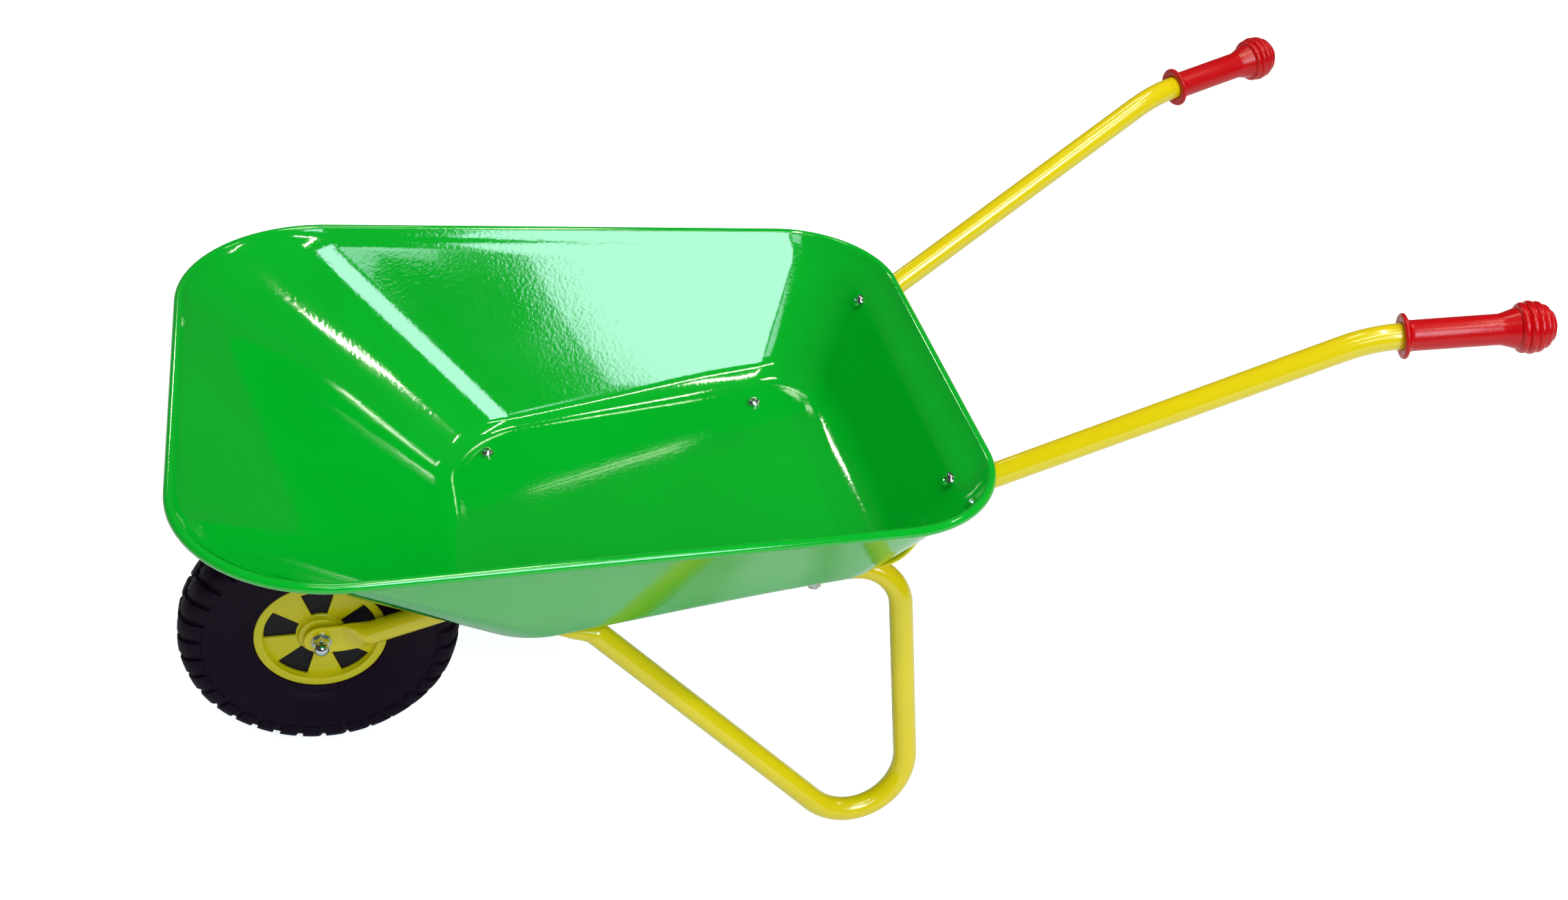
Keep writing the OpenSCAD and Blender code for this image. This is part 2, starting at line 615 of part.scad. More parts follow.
module inner_washer(side) {
    color(steel_grey) placed(side) on_axle() translate([0, 0, inner_washer_at])
        ring(eye_in - gap / 4 - inner_washer_at, inner_washer_r, axle_d + clearance);
}
module left_inner_washer() { inner_washer(-1); }
module right_inner_washer() { inner_washer(1); }
module outer_washer(side) {
    color(steel_grey) placed(side) on_axle() translate([0, 0, eye_out + gap / 4])
        ring(axle_washer_t, 6.2, axle_d + clearance);
}
module left_outer_washer() { outer_washer(-1); }
module right_outer_washer() { outer_washer(1); }
module left_axle_nut() { color(steel_grey) placed(-1) on_axle() dome_nut(); }
module right_axle_nut() { color(steel_grey) placed(1) on_axle() dome_nut(); }
module front_floor_bolts() { color(steel_grey) at_front_bolts() pan_bolt(front_depth + nut_past); }
module rear_floor_bolts() { color(steel_grey) at_rear_bolts() pan_bolt(rear_depth + nut_past); }
module wall_bolts() { color(steel_grey) at_wall_bolts() pan_bolt(wall_depth + nut_past); }
module front_floor_washers() { color(steel_grey) at_front_bolts() plain_washer(front_depth); }
module rear_floor_washers() { color(steel_grey) at_rear_bolts() plain_washer(rear_depth); }
module wall_washers() { color(steel_grey) at_wall_bolts() plain_washer(wall_depth); }
module front_floor_nuts() { color(steel_grey) at_front_bolts() hex_nut(front_depth + nut_gap); }
module rear_floor_nuts() { color(steel_grey) at_rear_bolts() hex_nut(rear_depth + nut_gap); }
module wall_nuts() { color(steel_grey) at_wall_bolts() hex_nut(wall_depth + nut_gap); }

tray();
left_frame_tube();
right_frame_tube();
left_handle();
right_handle();
left_grip();
right_grip();
tyre();
wheel_core();
left_hub_cap();
right_hub_cap();
hub_bushes();
axle();
left_inner_washer();
right_inner_washer();
left_outer_washer();
right_outer_washer();
left_axle_nut();
right_axle_nut();
front_floor_bolts();
rear_floor_bolts();
wall_bolts();
front_floor_washers();
rear_floor_washers();
wall_washers();
front_floor_nuts();
rear_floor_nuts();
wall_nuts();
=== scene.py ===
"""A child's steel wheelbarrow in its finished looks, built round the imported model."""

import json
import logging
import math
from dataclasses import dataclass, field
from enum import Enum

import bmesh
import bpy
from mathutils import Matrix, Vector


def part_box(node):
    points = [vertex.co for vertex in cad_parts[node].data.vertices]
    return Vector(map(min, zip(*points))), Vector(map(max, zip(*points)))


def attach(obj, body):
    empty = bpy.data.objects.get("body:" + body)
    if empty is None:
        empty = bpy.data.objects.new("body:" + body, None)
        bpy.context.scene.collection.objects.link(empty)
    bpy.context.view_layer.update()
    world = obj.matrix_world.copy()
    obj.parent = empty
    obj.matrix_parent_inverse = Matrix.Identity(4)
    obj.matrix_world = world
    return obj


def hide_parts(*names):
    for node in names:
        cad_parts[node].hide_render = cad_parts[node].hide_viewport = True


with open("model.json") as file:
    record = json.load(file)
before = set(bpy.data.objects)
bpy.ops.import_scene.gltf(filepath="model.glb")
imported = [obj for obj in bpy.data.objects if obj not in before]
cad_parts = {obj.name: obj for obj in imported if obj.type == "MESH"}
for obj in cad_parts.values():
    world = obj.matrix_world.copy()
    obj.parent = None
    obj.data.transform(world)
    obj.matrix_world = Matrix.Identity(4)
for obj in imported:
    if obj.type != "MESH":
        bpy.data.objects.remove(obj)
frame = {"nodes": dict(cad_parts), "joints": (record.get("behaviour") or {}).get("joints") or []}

LOG = logging.getLogger("wheelbarrow")
FULL_TURN = 2 * math.pi
MERGE_WITHIN = 1e-4
PRESSED_SHARPNESS = 2.6
COAT_GLOSS = 0.03
Color = tuple[float, float, float]
Profile = list[tuple[float, float]]


class Side(Enum):
    """The side of the barrow that a piece is on, seen from behind the handles."""

    LEFT = -1
    RIGHT = 1

    @property
    def word(self) -> str:
        """The side as it is written in the names of pieces."""
        return self.name.lower()


class Effect(Enum):
    """The shader node groups that the finishes share."""

    RIPPLE = "sprayed_ripple"
    HAZE = "handling_haze"
    MOTTLE = "colour_mottle"
    GRAIN = "moulded_grain"


# ---------------------------------------------------------------- finishes


class NodeSheet:
    """A node tree with short calls for adding nodes and joining them."""

    def __init__(self, tree: bpy.types.NodeTree) -> None:
        """Clears the tree.

        Args:
            tree: The tree to work in.
        """
        self.tree = tree
        tree.nodes.clear()

    def add(self, kind: str, **settings: object) -> bpy.types.Node:
        """Adds a node.

        Args:
            kind: The node's Blender type.
            **settings: Properties to set on it.

        Returns:
            The new node.
        """
        node = self.tree.nodes.new(kind)
        for name, value in settings.items():
            setattr(node, name, value)
        return node

    def join(self, source: bpy.types.NodeSocket, target: bpy.types.NodeSocket) -> None:
        """Links an output socket to an input socket."""
        self.tree.links.new(source, target)

    def noise(self, where: bpy.types.NodeSocket, detail: float, roughness: float = 0.5) -> bpy.types.Node:
        """Adds a noise texture that reads the coordinates given.

        Args:
            where: The socket with the coordinates.
            detail: The number of octaves.
            roughness: How strong the finer octaves are.

        Returns:
            The noise node, with its scale still to be set.
        """
        node = self.add("ShaderNodeTexNoise")
        node.inputs["Detail"].default_value = detail
        node.inputs["Roughness"].default_value = roughness
        self.join(where, node.inputs["Vector"])
        return node

    def math(self, operation: str, a: bpy.types.NodeSocket,
             b: bpy.types.NodeSocket | float) -> bpy.types.NodeSocket:
        """Adds a math node on two values.

        Args:
            operation: The node's operation.
            a: The first value.
            b: The second value, a socket or a number.

        Returns:
            The result's socket.
        """
        node = self.add("ShaderNodeMath", operation=operation)
        self.join(a, node.inputs[0])
        if isinstance(b, bpy.types.NodeSocket):
            self.join(b, node.inputs[1])
        else:
            node.inputs[1].default_value = b
        return node.outputs[0]


class EffectShelf:
    """Builds each shared effect once and hands it out by name."""

    def __init__(self) -> None:
        """Starts with an empty shelf."""
        self._groups: dict[Effect, bpy.types.NodeTree] = {}

    def group(self, effect: Effect) -> bpy.types.NodeTree:
        """Gives the node group of an effect, building it when it is first asked for.

        Args:
            effect: The effect that is wanted.

        Returns:
            Its node group.
        """
        if effect not in self._groups:
            makers = {
                Effect.RIPPLE: self._ripple,
                Effect.HAZE: self._haze,
                Effect.MOTTLE: self._mottle,
                Effect.GRAIN: self._grain,
            }
            self._groups[effect] = makers[effect]()
        return self._groups[effect]

    @staticmethod
    def _open(
        effect: Effect, inputs: dict[str, float | Color], output: tuple[str, str]
    ) -> tuple[NodeSheet, bpy.types.Node, bpy.types.Node, bpy.types.NodeSocket]:
        """Opens a new group with its sockets.

        Args:
            effect: The effect it is for.
            inputs: Input names with their first values, numbers or colours.
            output: The output's name and socket type.

        Returns:
            The sheet, the group's input and output nodes, and the Object coordinates.
        """
        tree = bpy.data.node_groups.new(effect.value, "ShaderNodeTree")
        for name, value in inputs.items():
            kind = "NodeSocketFloat" if isinstance(value, (int, float)) else "NodeSocketColor"
            socket = tree.interface.new_socket(name, in_out="INPUT", socket_type=kind)
            socket.default_value = value if isinstance(value, (int, float)) else (*value, 1.0)
        tree.interface.new_socket(output[0], in_out="OUTPUT", socket_type=output[1])
        sheet = NodeSheet(tree)
        given = sheet.add("NodeGroupInput")
        result = sheet.add("NodeGroupOutput")
        where = sheet.add("ShaderNodeTexCoord").outputs["Object"]
        return sheet, given, result, where

    def _ripple(self) -> bpy.types.NodeTree:
        """Builds the slow ripple and fine orange peel of sprayed enamel, as a height.

        Returns:
            The node group.
        """
        sheet, given, result, where = self._open(
            Effect.RIPPLE, {"Broad Scale": 9.0, "Fine Scale": 260.0, "Fine Share": 0.2},
            ("Height", "NodeSocketFloat"))
        broad = sheet.noise(where, 1.5)
        fine = sheet.noise(where, 2.0)
        sheet.join(given.outputs["Broad Scale"], broad.inputs["Scale"])
        sheet.join(given.outputs["Fine Scale"], fine.inputs["Scale"])
        share = sheet.math("MULTIPLY", fine.outputs["Fac"], given.outputs["Fine Share"])
        sheet.join(sheet.math("ADD", broad.outputs["Fac"], share), result.inputs["Height"])
        return sheet.tree

    @staticmethod
    def _cloud(sheet: NodeSheet, given: bpy.types.Node, cloud: bpy.types.Node, low: float,
               high: float) -> bpy.types.Node:
        """Spreads a cloudy noise, at the group's own Scale, over its full range.

        Args:
            sheet: The group's sheet.
            given: The group's input node.
            cloud: The noise node.
            low: The noise value that counts as none.
            high: The noise value that counts as full.

        Returns:
            The node that spreads it.
        """
        sheet.join(given.outputs["Scale"], cloud.inputs["Scale"])
        spread = sheet.add("ShaderNodeMapRange")
        spread.inputs["From Min"].default_value = low
        spread.inputs["From Max"].default_value = high
        sheet.join(cloud.outputs["Fac"], spread.inputs["Value"])
        return spread

    def _haze(self) -> bpy.types.NodeTree:
        """Builds the cloudy change of gloss that handling leaves, as a roughness.

        Returns:
            The node group.
        """
        sheet, given, result, where = self._open(
            Effect.HAZE, {"Scale": 14.0, "Clean": 0.1, "Handled": 0.2}, ("Roughness", "NodeSocketFloat"))
        spread = self._cloud(sheet, given, sheet.noise(where, 5.0, 0.62), 0.35, 0.68)
        sheet.join(given.outputs["Clean"], spread.inputs["To Min"])
        sheet.join(given.outputs["Handled"], spread.inputs["To Max"])
        sheet.join(spread.outputs["Result"], result.inputs["Roughness"])
        return sheet.tree

    def _mottle(self) -> bpy.types.NodeTree:
        """Builds the soft drift between two close colours that a real coat or moulding has.

        Returns:
            The node group.
        """
        sheet, given, result, where = self._open(
            Effect.MOTTLE, {"Color": (0.5, 0.5, 0.5), "Shade": (0.4, 0.4, 0.4), "Scale": 6.0},
            ("Color", "NodeSocketColor"))
        spread = self._cloud(sheet, given, sheet.noise(where, 4.0, 0.6), 0.3, 0.7)
        blend = sheet.add("ShaderNodeMix", data_type="RGBA")
        sheet.join(spread.outputs["Result"], blend.inputs["Factor"])
        sheet.join(given.outputs["Color"], blend.inputs["A"])
        sheet.join(given.outputs["Shade"], blend.inputs["B"])
        sheet.join(blend.outputs["Result"], result.inputs["Color"])
        return sheet.tree

    def _grain(self) -> bpy.types.NodeTree:
        """Builds the pebbled skin of moulded rubber and plastic, as a height.

        Returns:
            The node group.
        """
        sheet, given, result, where = self._open(
            Effect.GRAIN, {"Scale": 900.0, "Softness": 0.5}, ("Height", "NodeSocketFloat"))
        cells = sheet.add("ShaderNodeTexVoronoi", feature="SMOOTH_F1")
        sheet.join(where, cells.inputs["Vector"])
        sheet.join(given.outputs["Scale"], cells.inputs["Scale"])
        cloud = sheet.noise(where, 3.0)
        sheet.join(given.outputs["Scale"], cloud.inputs["Scale"])
        soft = sheet.math("MULTIPLY", cloud.outputs["Fac"], given.outputs["Softness"])
        sheet.join(sheet.math("ADD", cells.outputs["Distance"], soft), result.inputs["Height"])
        return sheet.tree


@dataclass(frozen=True)
class Finish:
    """One surface finish; lengths are metres and colours are linear."""

    name: str
    slot: str
    color: Color
    shade: Color
    clean: float = 0.1
    handled: float = 0.2
    bump_effect: Effect = Effect.RIPPLE
    bump_values: tuple[tuple[str, float], ...] = ()
    bump_depth: float = 0.0004
    metallic: float = 0.0
    coat: float = 0.0
    specular: float = 0.5
    mottle_scale: float = 6.0
    haze_scale: float = 14.0
    rings_at: tuple[float, float, float] | None = None
    ring_scale: float = 95.0
    ring_height: float = 0.6

    def material(self, shelf: EffectShelf) -> bpy.types.Material:
        """Gives this finish as a Blender material, built once.

        Args:
            shelf: The shared effects.

        Returns:
            The material.
        """
        made = bpy.data.materials.get(self.name)
        if made is not None:
            return made
        made = bpy.data.materials.new(self.name)
        made.use_nodes = True
        sheet = NodeSheet(made.node_tree)
        shader = sheet.add("ShaderNodeBsdfPrincipled")
        out = sheet.add("ShaderNodeOutputMaterial")
        sheet.join(shader.outputs["BSDF"], out.inputs["Surface"])
        shader.inputs["Metallic"].default_value = self.metallic
        shader.inputs["Coat Weight"].default_value = self.coat
        shader.inputs["Coat Roughness"].default_value = COAT_GLOSS
        shader.inputs["Specular IOR Level"].default_value = self.specular
        mottle = self._effect(sheet, shelf, Effect.MOTTLE)
        mottle.inputs["Color"].default_value = (*self.color, 1.0)
        mottle.inputs["Shade"].default_value = (*self.shade, 1.0)
        mottle.inputs["Scale"].default_value = self.mottle_scale
        sheet.join(mottle.outputs["Color"], shader.inputs["Base Color"])
        haze = self._effect(sheet, shelf, Effect.HAZE)
        haze.inputs["Scale"].default_value = self.haze_scale
        haze.inputs["Clean"].default_value = self.clean
        haze.inputs["Handled"].default_value = self.handled
        sheet.join(haze.outputs["Roughness"], shader.inputs["Roughness"])
        relief = self._effect(sheet, shelf, self.bump_effect)
        for name, value in self.bump_values:
            relief.inputs[name].default_value = value
        height = relief.outputs["Height"]
        if self.rings_at is not None:
            height = sheet.math("ADD", height, self._moulded_rings(sheet))
        bump = sheet.add("ShaderNodeBump")
        bump.inputs["Strength"].default_value = 1.0
        bump.inputs["Distance"].default_value = self.bump_depth
        sheet.join(height, bump.inputs["Height"])
        sheet.join(bump.outputs["Normal"], shader.inputs["Normal"])
        return made

    @staticmethod
    def _effect(sheet: NodeSheet, shelf: EffectShelf, effect: Effect) -> bpy.types.Node:
        """Places a shared effect in a material."""
        return sheet.add("ShaderNodeGroup", node_tree=shelf.group(effect))

    def _moulded_rings(self, sheet: NodeSheet) -> bpy.types.NodeSocket:
        """Adds fine rings round a wheel's axle, as the mould leaves them on a side wall.

        Args:
            sheet: The material's node sheet.

        Returns:
            The rings' height socket.
        """
        where = sheet.add("ShaderNodeTexCoord").outputs["Object"]
        centre = sheet.add("ShaderNodeMapping", vector_type="POINT")
        centre.inputs["Location"].default_value = [-v for v in self.rings_at]
        sheet.join(where, centre.inputs["Vector"])
        rings = sheet.add("ShaderNodeTexWave", wave_type="RINGS", rings_direction="Y")
        rings.inputs["Scale"].default_value = self.ring_scale
        sheet.join(centre.outputs["Vector"], rings.inputs["Vector"])
        return sheet.math("MULTIPLY", rings.outputs["Fac"], self.ring_height)


# ---------------------------------------------------------------- mesh work


@dataclass(frozen=True)
class Ring:
    """One section of a swept tube: an oval that turns into a flat strap as flat goes to 1."""

    place: Vector
    along: Vector
    normal: Vector
    half_w: float
    half_t: float
    flat: float = 0.0

    def points(self, sides: int) -> list[Vector]:
        """Gives the section's points.

        Args:
            sides: The number of points.

        Returns:
            The points in order round the section.
        """
        u = self.along.normalized()
        y = (self.normal - u * u.dot(self.normal)).normalized()
        x = y.cross(u)
        found = []
        for i in range(sides):
            a = FULL_TURN * i / sides
            pressed = max(-1.0, min(1.0, PRESSED_SHARPNESS * math.sin(a)))
            rise = (1 - self.flat) * math.sin(a) + self.flat * pressed
            found.append(self.place + x * (self.half_w * math.cos(a)) + y * (self.half_t * rise))
        return found


class Shape:
    """A mesh in the making, drawn in millimetres with the axle's foot at the origin."""

    def __init__(self) -> None:
        """Starts an empty mesh."""
        self.bm = bmesh.new()

    def loop(self, points: list[Vector]) -> list[bmesh.types.BMEdge]:
        """Adds a closed loop of edges.

        Args:
            points: The loop's points in order.

        Returns:
            Its edges.
        """
        verts = [self.bm.verts.new(p) for p in points]
        return [self.bm.edges.new((a, b)) for a, b in zip(verts, verts[1:] + verts[:1])]

    def loft(self, loops: list[list[Vector]], rim: float = 0.0) -> None:
        """Bridges loops one after the other and closes both ends.

        Args:
            loops: The loops, each with the same number of points.
            rim: Width of an inset that keeps the end faces' shading flat.
        """
        rows = [self.loop(points) for points in loops]
        for near, far in zip(rows, rows[1:]):
            bmesh.ops.bridge_loops(self.bm, edges=near + far)
        for row in (rows[0], rows[-1]):
            cap = bmesh.ops.contextual_create(self.bm, geom=row)["faces"]
            if rim > 0:
                bmesh.ops.inset_region(self.bm, faces=cap, thickness=rim, use_even_offset=True)

    def sweep(self, rings: list[Ring], sides: int = 40) -> None:
        """Sweeps a tube through rings."""
        self.loft([ring.points(sides) for ring in rings])

    def turn(self, profile: Profile, steps: int = 72, angle: float = FULL_TURN, start: float = 0.0,
             closed: bool = False) -> list[bmesh.types.BMVert]:
        """Spins a profile of (radius, height) round the z axis.

        Args:
            profile: The profile's points.
            steps: Steps of the spin.
            angle: Angle of the spin.
            start: Angle where it starts.
            closed: Whether the profile closes on itself.

        Returns:
            The vertices it made.
        """
        before = set(self.bm.verts)
        place = Matrix.Rotation(start, 3, "Z")
        verts = [self.bm.verts.new(place @ Vector((r, 0.0, h))) for r, h in profile]
        pairs = list(zip(verts, verts[1:]))
        if closed:
            pairs.append((verts[-1], verts[0]))
        edges = [self.bm.edges.new(p) for p in pairs]
        full = abs(angle - FULL_TURN) < 1e-6
        if closed and not full:
            face = bmesh.ops.contextual_create(self.bm, geom=edges)["faces"]
            bmesh.ops.spin(self.bm, geom=verts + edges + face, axis=(0, 0, 1), cent=(0, 0, 0), angle=angle,
                           steps=steps)
        else:
            bmesh.ops.spin(self.bm, geom=verts + edges, axis=(0, 0, 1), cent=(0, 0, 0), angle=angle,
                           steps=steps, use_merge=full)
        made = [v for v in self.bm.verts if v not in before]
        bmesh.ops.remove_doubles(self.bm, verts=made, dist=MERGE_WITHIN)
        return [v for v in self.bm.verts if v not in before]

    def move(self, matrix: Matrix) -> None:
        """Moves the whole shape, with its faces kept outwards.

        Args:
            matrix: The move.
        """
        bmesh.ops.transform(self.bm, matrix=matrix, verts=self.bm.verts[:])
        if matrix.determinant() < 0:
            bmesh.ops.reverse_faces(self.bm, faces=self.bm.faces[:])

    def add(self, other: "Shape", matrix: Matrix) -> None:
        """Adds a moved copy of another shape.

        Args:
            other: The shape to copy.
            matrix: Where the copy goes.
        """
        mesh = bpy.data.meshes.new("copy")
        other.bm.to_mesh(mesh)
        mesh.transform(matrix)
        if matrix.determinant() < 0:
            mesh.flip_normals()
        self.bm.from_mesh(mesh)
        bpy.data.meshes.remove(mesh)

    def settle(self) -> None:
        """Merges doubled points and turns every face outwards."""
        bmesh.ops.remove_doubles(self.bm, verts=self.bm.verts[:], dist=MERGE_WITHIN)
        bmesh.ops.recalc_face_normals(self.bm, faces=self.bm.faces[:])

    def soften(self, edges: list[bmesh.types.BMEdge], width: float) -> None:
        """Rounds edges with a narrow bevel.

        Args:
            edges: The edges.
            width: The bevel's width.
        """
        bmesh.ops.bevel(self.bm, geom=edges, offset=width, affect="EDGES", segments=2, profile=0.5,
                        material=-1)

    def object(self, name: str) -> bpy.types.Object:
        """Makes a linked object of the shape and frees the mesh in the making.

        Args:
            name: The object's name.

        Returns:
            The object.
        """
        mesh = bpy.data.meshes.new(name)
        self.bm.to_mesh(mesh)
        self.bm.free()
        made = bpy.data.objects.new(name, mesh)
        bpy.context.scene.collection.objects.link(made)
        return made

    def cut(self, cutter: "Shape") -> None:
        """Cuts another shape out of this one.

        Args:
            cutter: The shape to take away; it is used up.
        """
        body = self.object("cut body")
        tool = cutter.object("cut tool")
        step = body.modifiers.new("recess", "BOOLEAN")
        step.operation = "DIFFERENCE"
        step.solver = "EXACT"
        step.object = tool
        graph = bpy.context.evaluated_depsgraph_get()
        mesh = bpy.data.meshes.new_from_object(body.evaluated_get(graph))
        self.bm = bmesh.new()
        self.bm.from_mesh(mesh)
        for made in (body, tool):
            old = made.data
            bpy.data.objects.remove(made)
            bpy.data.meshes.remove(old)
        bpy.data.meshes.remove(mesh)


@dataclass
class Bench:
    """Puts finished pieces into the barrow's frame and dresses them."""

    axle_x: float
    shelf: EffectShelf = field(default_factory=EffectShelf)

    def matrix(self, side: Side) -> Matrix:
        """Gives the move from millimetres at the axle to the row frame, mirrored for the left side."""
        flip = Matrix.Diagonal((1, side.value, 1, 1))
        return Matrix.Translation((self.axle_x, 0, 0)) @ Matrix.Scale(0.001, 4) @ flip

    def deliver(self, shape: Shape, name: str, finish: Finish, body: str, nodes: tuple[str, ...],
                side: Side = Side.RIGHT, crease: float = 32.0) -> None:
        """Turns a shape into a finished piece.

        Args:
            shape: The shape in millimetres, with its faces outwards.
            name: The piece's name.
            finish: Its finish.
            body: The body it rides on.
            nodes: The CAD nodes it stands for.
            side: The side it goes on.
            crease: Angle in degrees past which an edge is sharp.
        """
        shape.move(self.matrix(side))
        piece = shape.object(name)
        piece.data.shade_smooth()
        piece.data.set_sharp_from_angle(angle=math.radians(crease))
        piece.data.materials.append(finish.material(self.shelf))
        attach(piece, body)
        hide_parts(*nodes)
        LOG.info("%s: %d faces, %s", name, len(piece.data.polygons), finish.name)

    def dress(self, nodes: tuple[str, ...], finish: Finish) -> None:
        """Gives CAD nodes that stay in view a finish.

        Args:
            nodes: The nodes' names.
            finish: The finish.
        """
        for node in nodes:
            owner = frame["nodes"][node]
            material = finish.material(self.shelf)
            if owner.material_slots:
                for slot in owner.material_slots:
                    slot.material = material
            else:
                owner.data.materials.append(material)
            LOG.info("%s: kept, %s", node, finish.name)


# ---------------------------------------------------------------- geometry shared by the pieces


@dataclass(frozen=True)
class Corner:
    """A rounded corner at a point between two others."""

    before: Vector
    at: Vector
    after: Vector
    radius: float

    @property
    def turn(self) -> float:
        """The angle turned at the corner."""
        return (self.at - self.before).angle(self.after - self.at)

    @property
    def axis(self) -> Vector:
        """The axis that the bend turns about."""
        return (self.at - self.before).cross(self.after - self.at).normalized()

    @property
    def centre(self) -> Vector:
        """The centre of the bend's arc.

        Returns:
            Its place.
        """
        u = (self.at - self.before).normalized()
        run = self.radius * math.tan(self.turn / 2)
        return self.at - u * run + self.axis.cross(u) * self.radius

    def arc(self, steps: int) -> list[tuple[Vector, Vector]]:
        """Gives (point, direction) pairs round the bend.

        Args:
            steps: The number of steps.

        Returns:
            The pairs, with both ends of the arc.
        """
        u = (self.at - self.before).normalized()
        out = -self.axis.cross(u)
        found = []
        for k in range(steps + 1):
            c = self.turn * k / steps
            found.append((self.centre + (out * math.cos(c) + u * math.sin(c)) * self.radius,
                          u * math.cos(c) - out * math.sin(c)))
        return found


@dataclass
class Sizes:
    """The barrow's main sizes in millimetres and radians, measured from the axle's foot."""

    wheel_r: float = 87.2
    bead_r: float = 3.0
    sheet: float = 1.0
    gap: float = 0.2
    rim_front_x: float = -68.9
    rim_back_x: float = 390.9
    rim_front_z: float = 272.6
    rim_back_z: float = 257.8
    rim_front_half: float = 190.1
    rim_back_half: float = 165.6
    front_corner_r: float = 87.0
    back_corner_r: float = 70.0
    fillet: float = 30.0
    floor_z_at_bolt: float = 151.8
    floor_slope: float = math.radians(7.95)
    floor_front_x: float = 86.0
    floor_back_x: float = 341.0
    floor_front_half: float = 109.0
    floor_back_half: float = 113.0
    bolt_front: tuple[float, float] = (115.0, 82.0)
    bolt_rear: tuple[float, float] = (296.2, 83.0)
    tube_r: float = 7.5
    strap_t: float = 2.4
    strap_w: float = 22.0
    splay: float = math.radians(14.5)
    lip_front_in: float = 10.0
    lip_back_in: float = 19.0
    lip_drop: float = 5.0
    lip_drop_more: float = 7.4
    wall_bolt_below: float = 4.6

    def floor_z(self, x: float) -> float:
        """Height of the floor's inner surface at x."""
        return self.floor_z_at_bolt + (x - self.bolt_front[0]) * math.tan(self.floor_slope)

    def rim_z(self, x: float) -> float:
        """Height of the rim's middle at x."""
        t = (x - self.rim_front_x) / (self.rim_back_x - self.rim_front_x)
        return self.rim_front_z + (self.rim_back_z - self.rim_front_z) * t

    @property
    def lip_front_x(self) -> float:
        """Where the front wall turns out to the rim."""
        return self.rim_front_x + self.lip_front_in

    @property
    def lip_back_x(self) -> float:
        """Where the back wall turns out to the rim."""
        return self.rim_back_x - self.lip_back_in

    def lip_z(self, x: float) -> float:
        """Height at which the walls turn out to the rim, at x."""
        t = (x - self.lip_front_x) / (self.lip_back_x - self.lip_front_x)
        return self.rim_z(x) - (self.lip_drop + self.lip_drop_more * t)

    @property
    def back_slope(self) -> float:
        """Angle of the back wall above the level."""
        rise = self.lip_z(self.lip_back_x) - self.floor_z(self.floor_back_x)
        return math.atan2(rise, self.lip_back_x - self.floor_back_x)

    @property
    def wall_bolt(self) -> Vector:
        """Where a wall bolt meets the back wall, on the modelled side.

        Returns:
            The place on the wall's inner face.
        """
        s = self.back_slope
        x = self.lip_back_x - self.wall_bolt_below * math.cos(s)
        z = self.lip_z(self.lip_back_x) - self.wall_bolt_below * math.sin(s)
        return Vector((x, self.bolt_rear[1] + (x - self.bolt_rear[0]) * math.tan(self.splay), z))

    def under_floor(self, x: float, depth: float) -> float:
        """Height of a plane that lies depth under the floor, at x."""
        return self.floor_z(x) - depth / math.cos(self.floor_slope)


def mixed(a: Vector, b: Vector, t: float) -> Vector:
    """Gives the point a share t of the way from a to b."""
    return a + (b - a) * t


# ---------------------------------------------------------------- tray


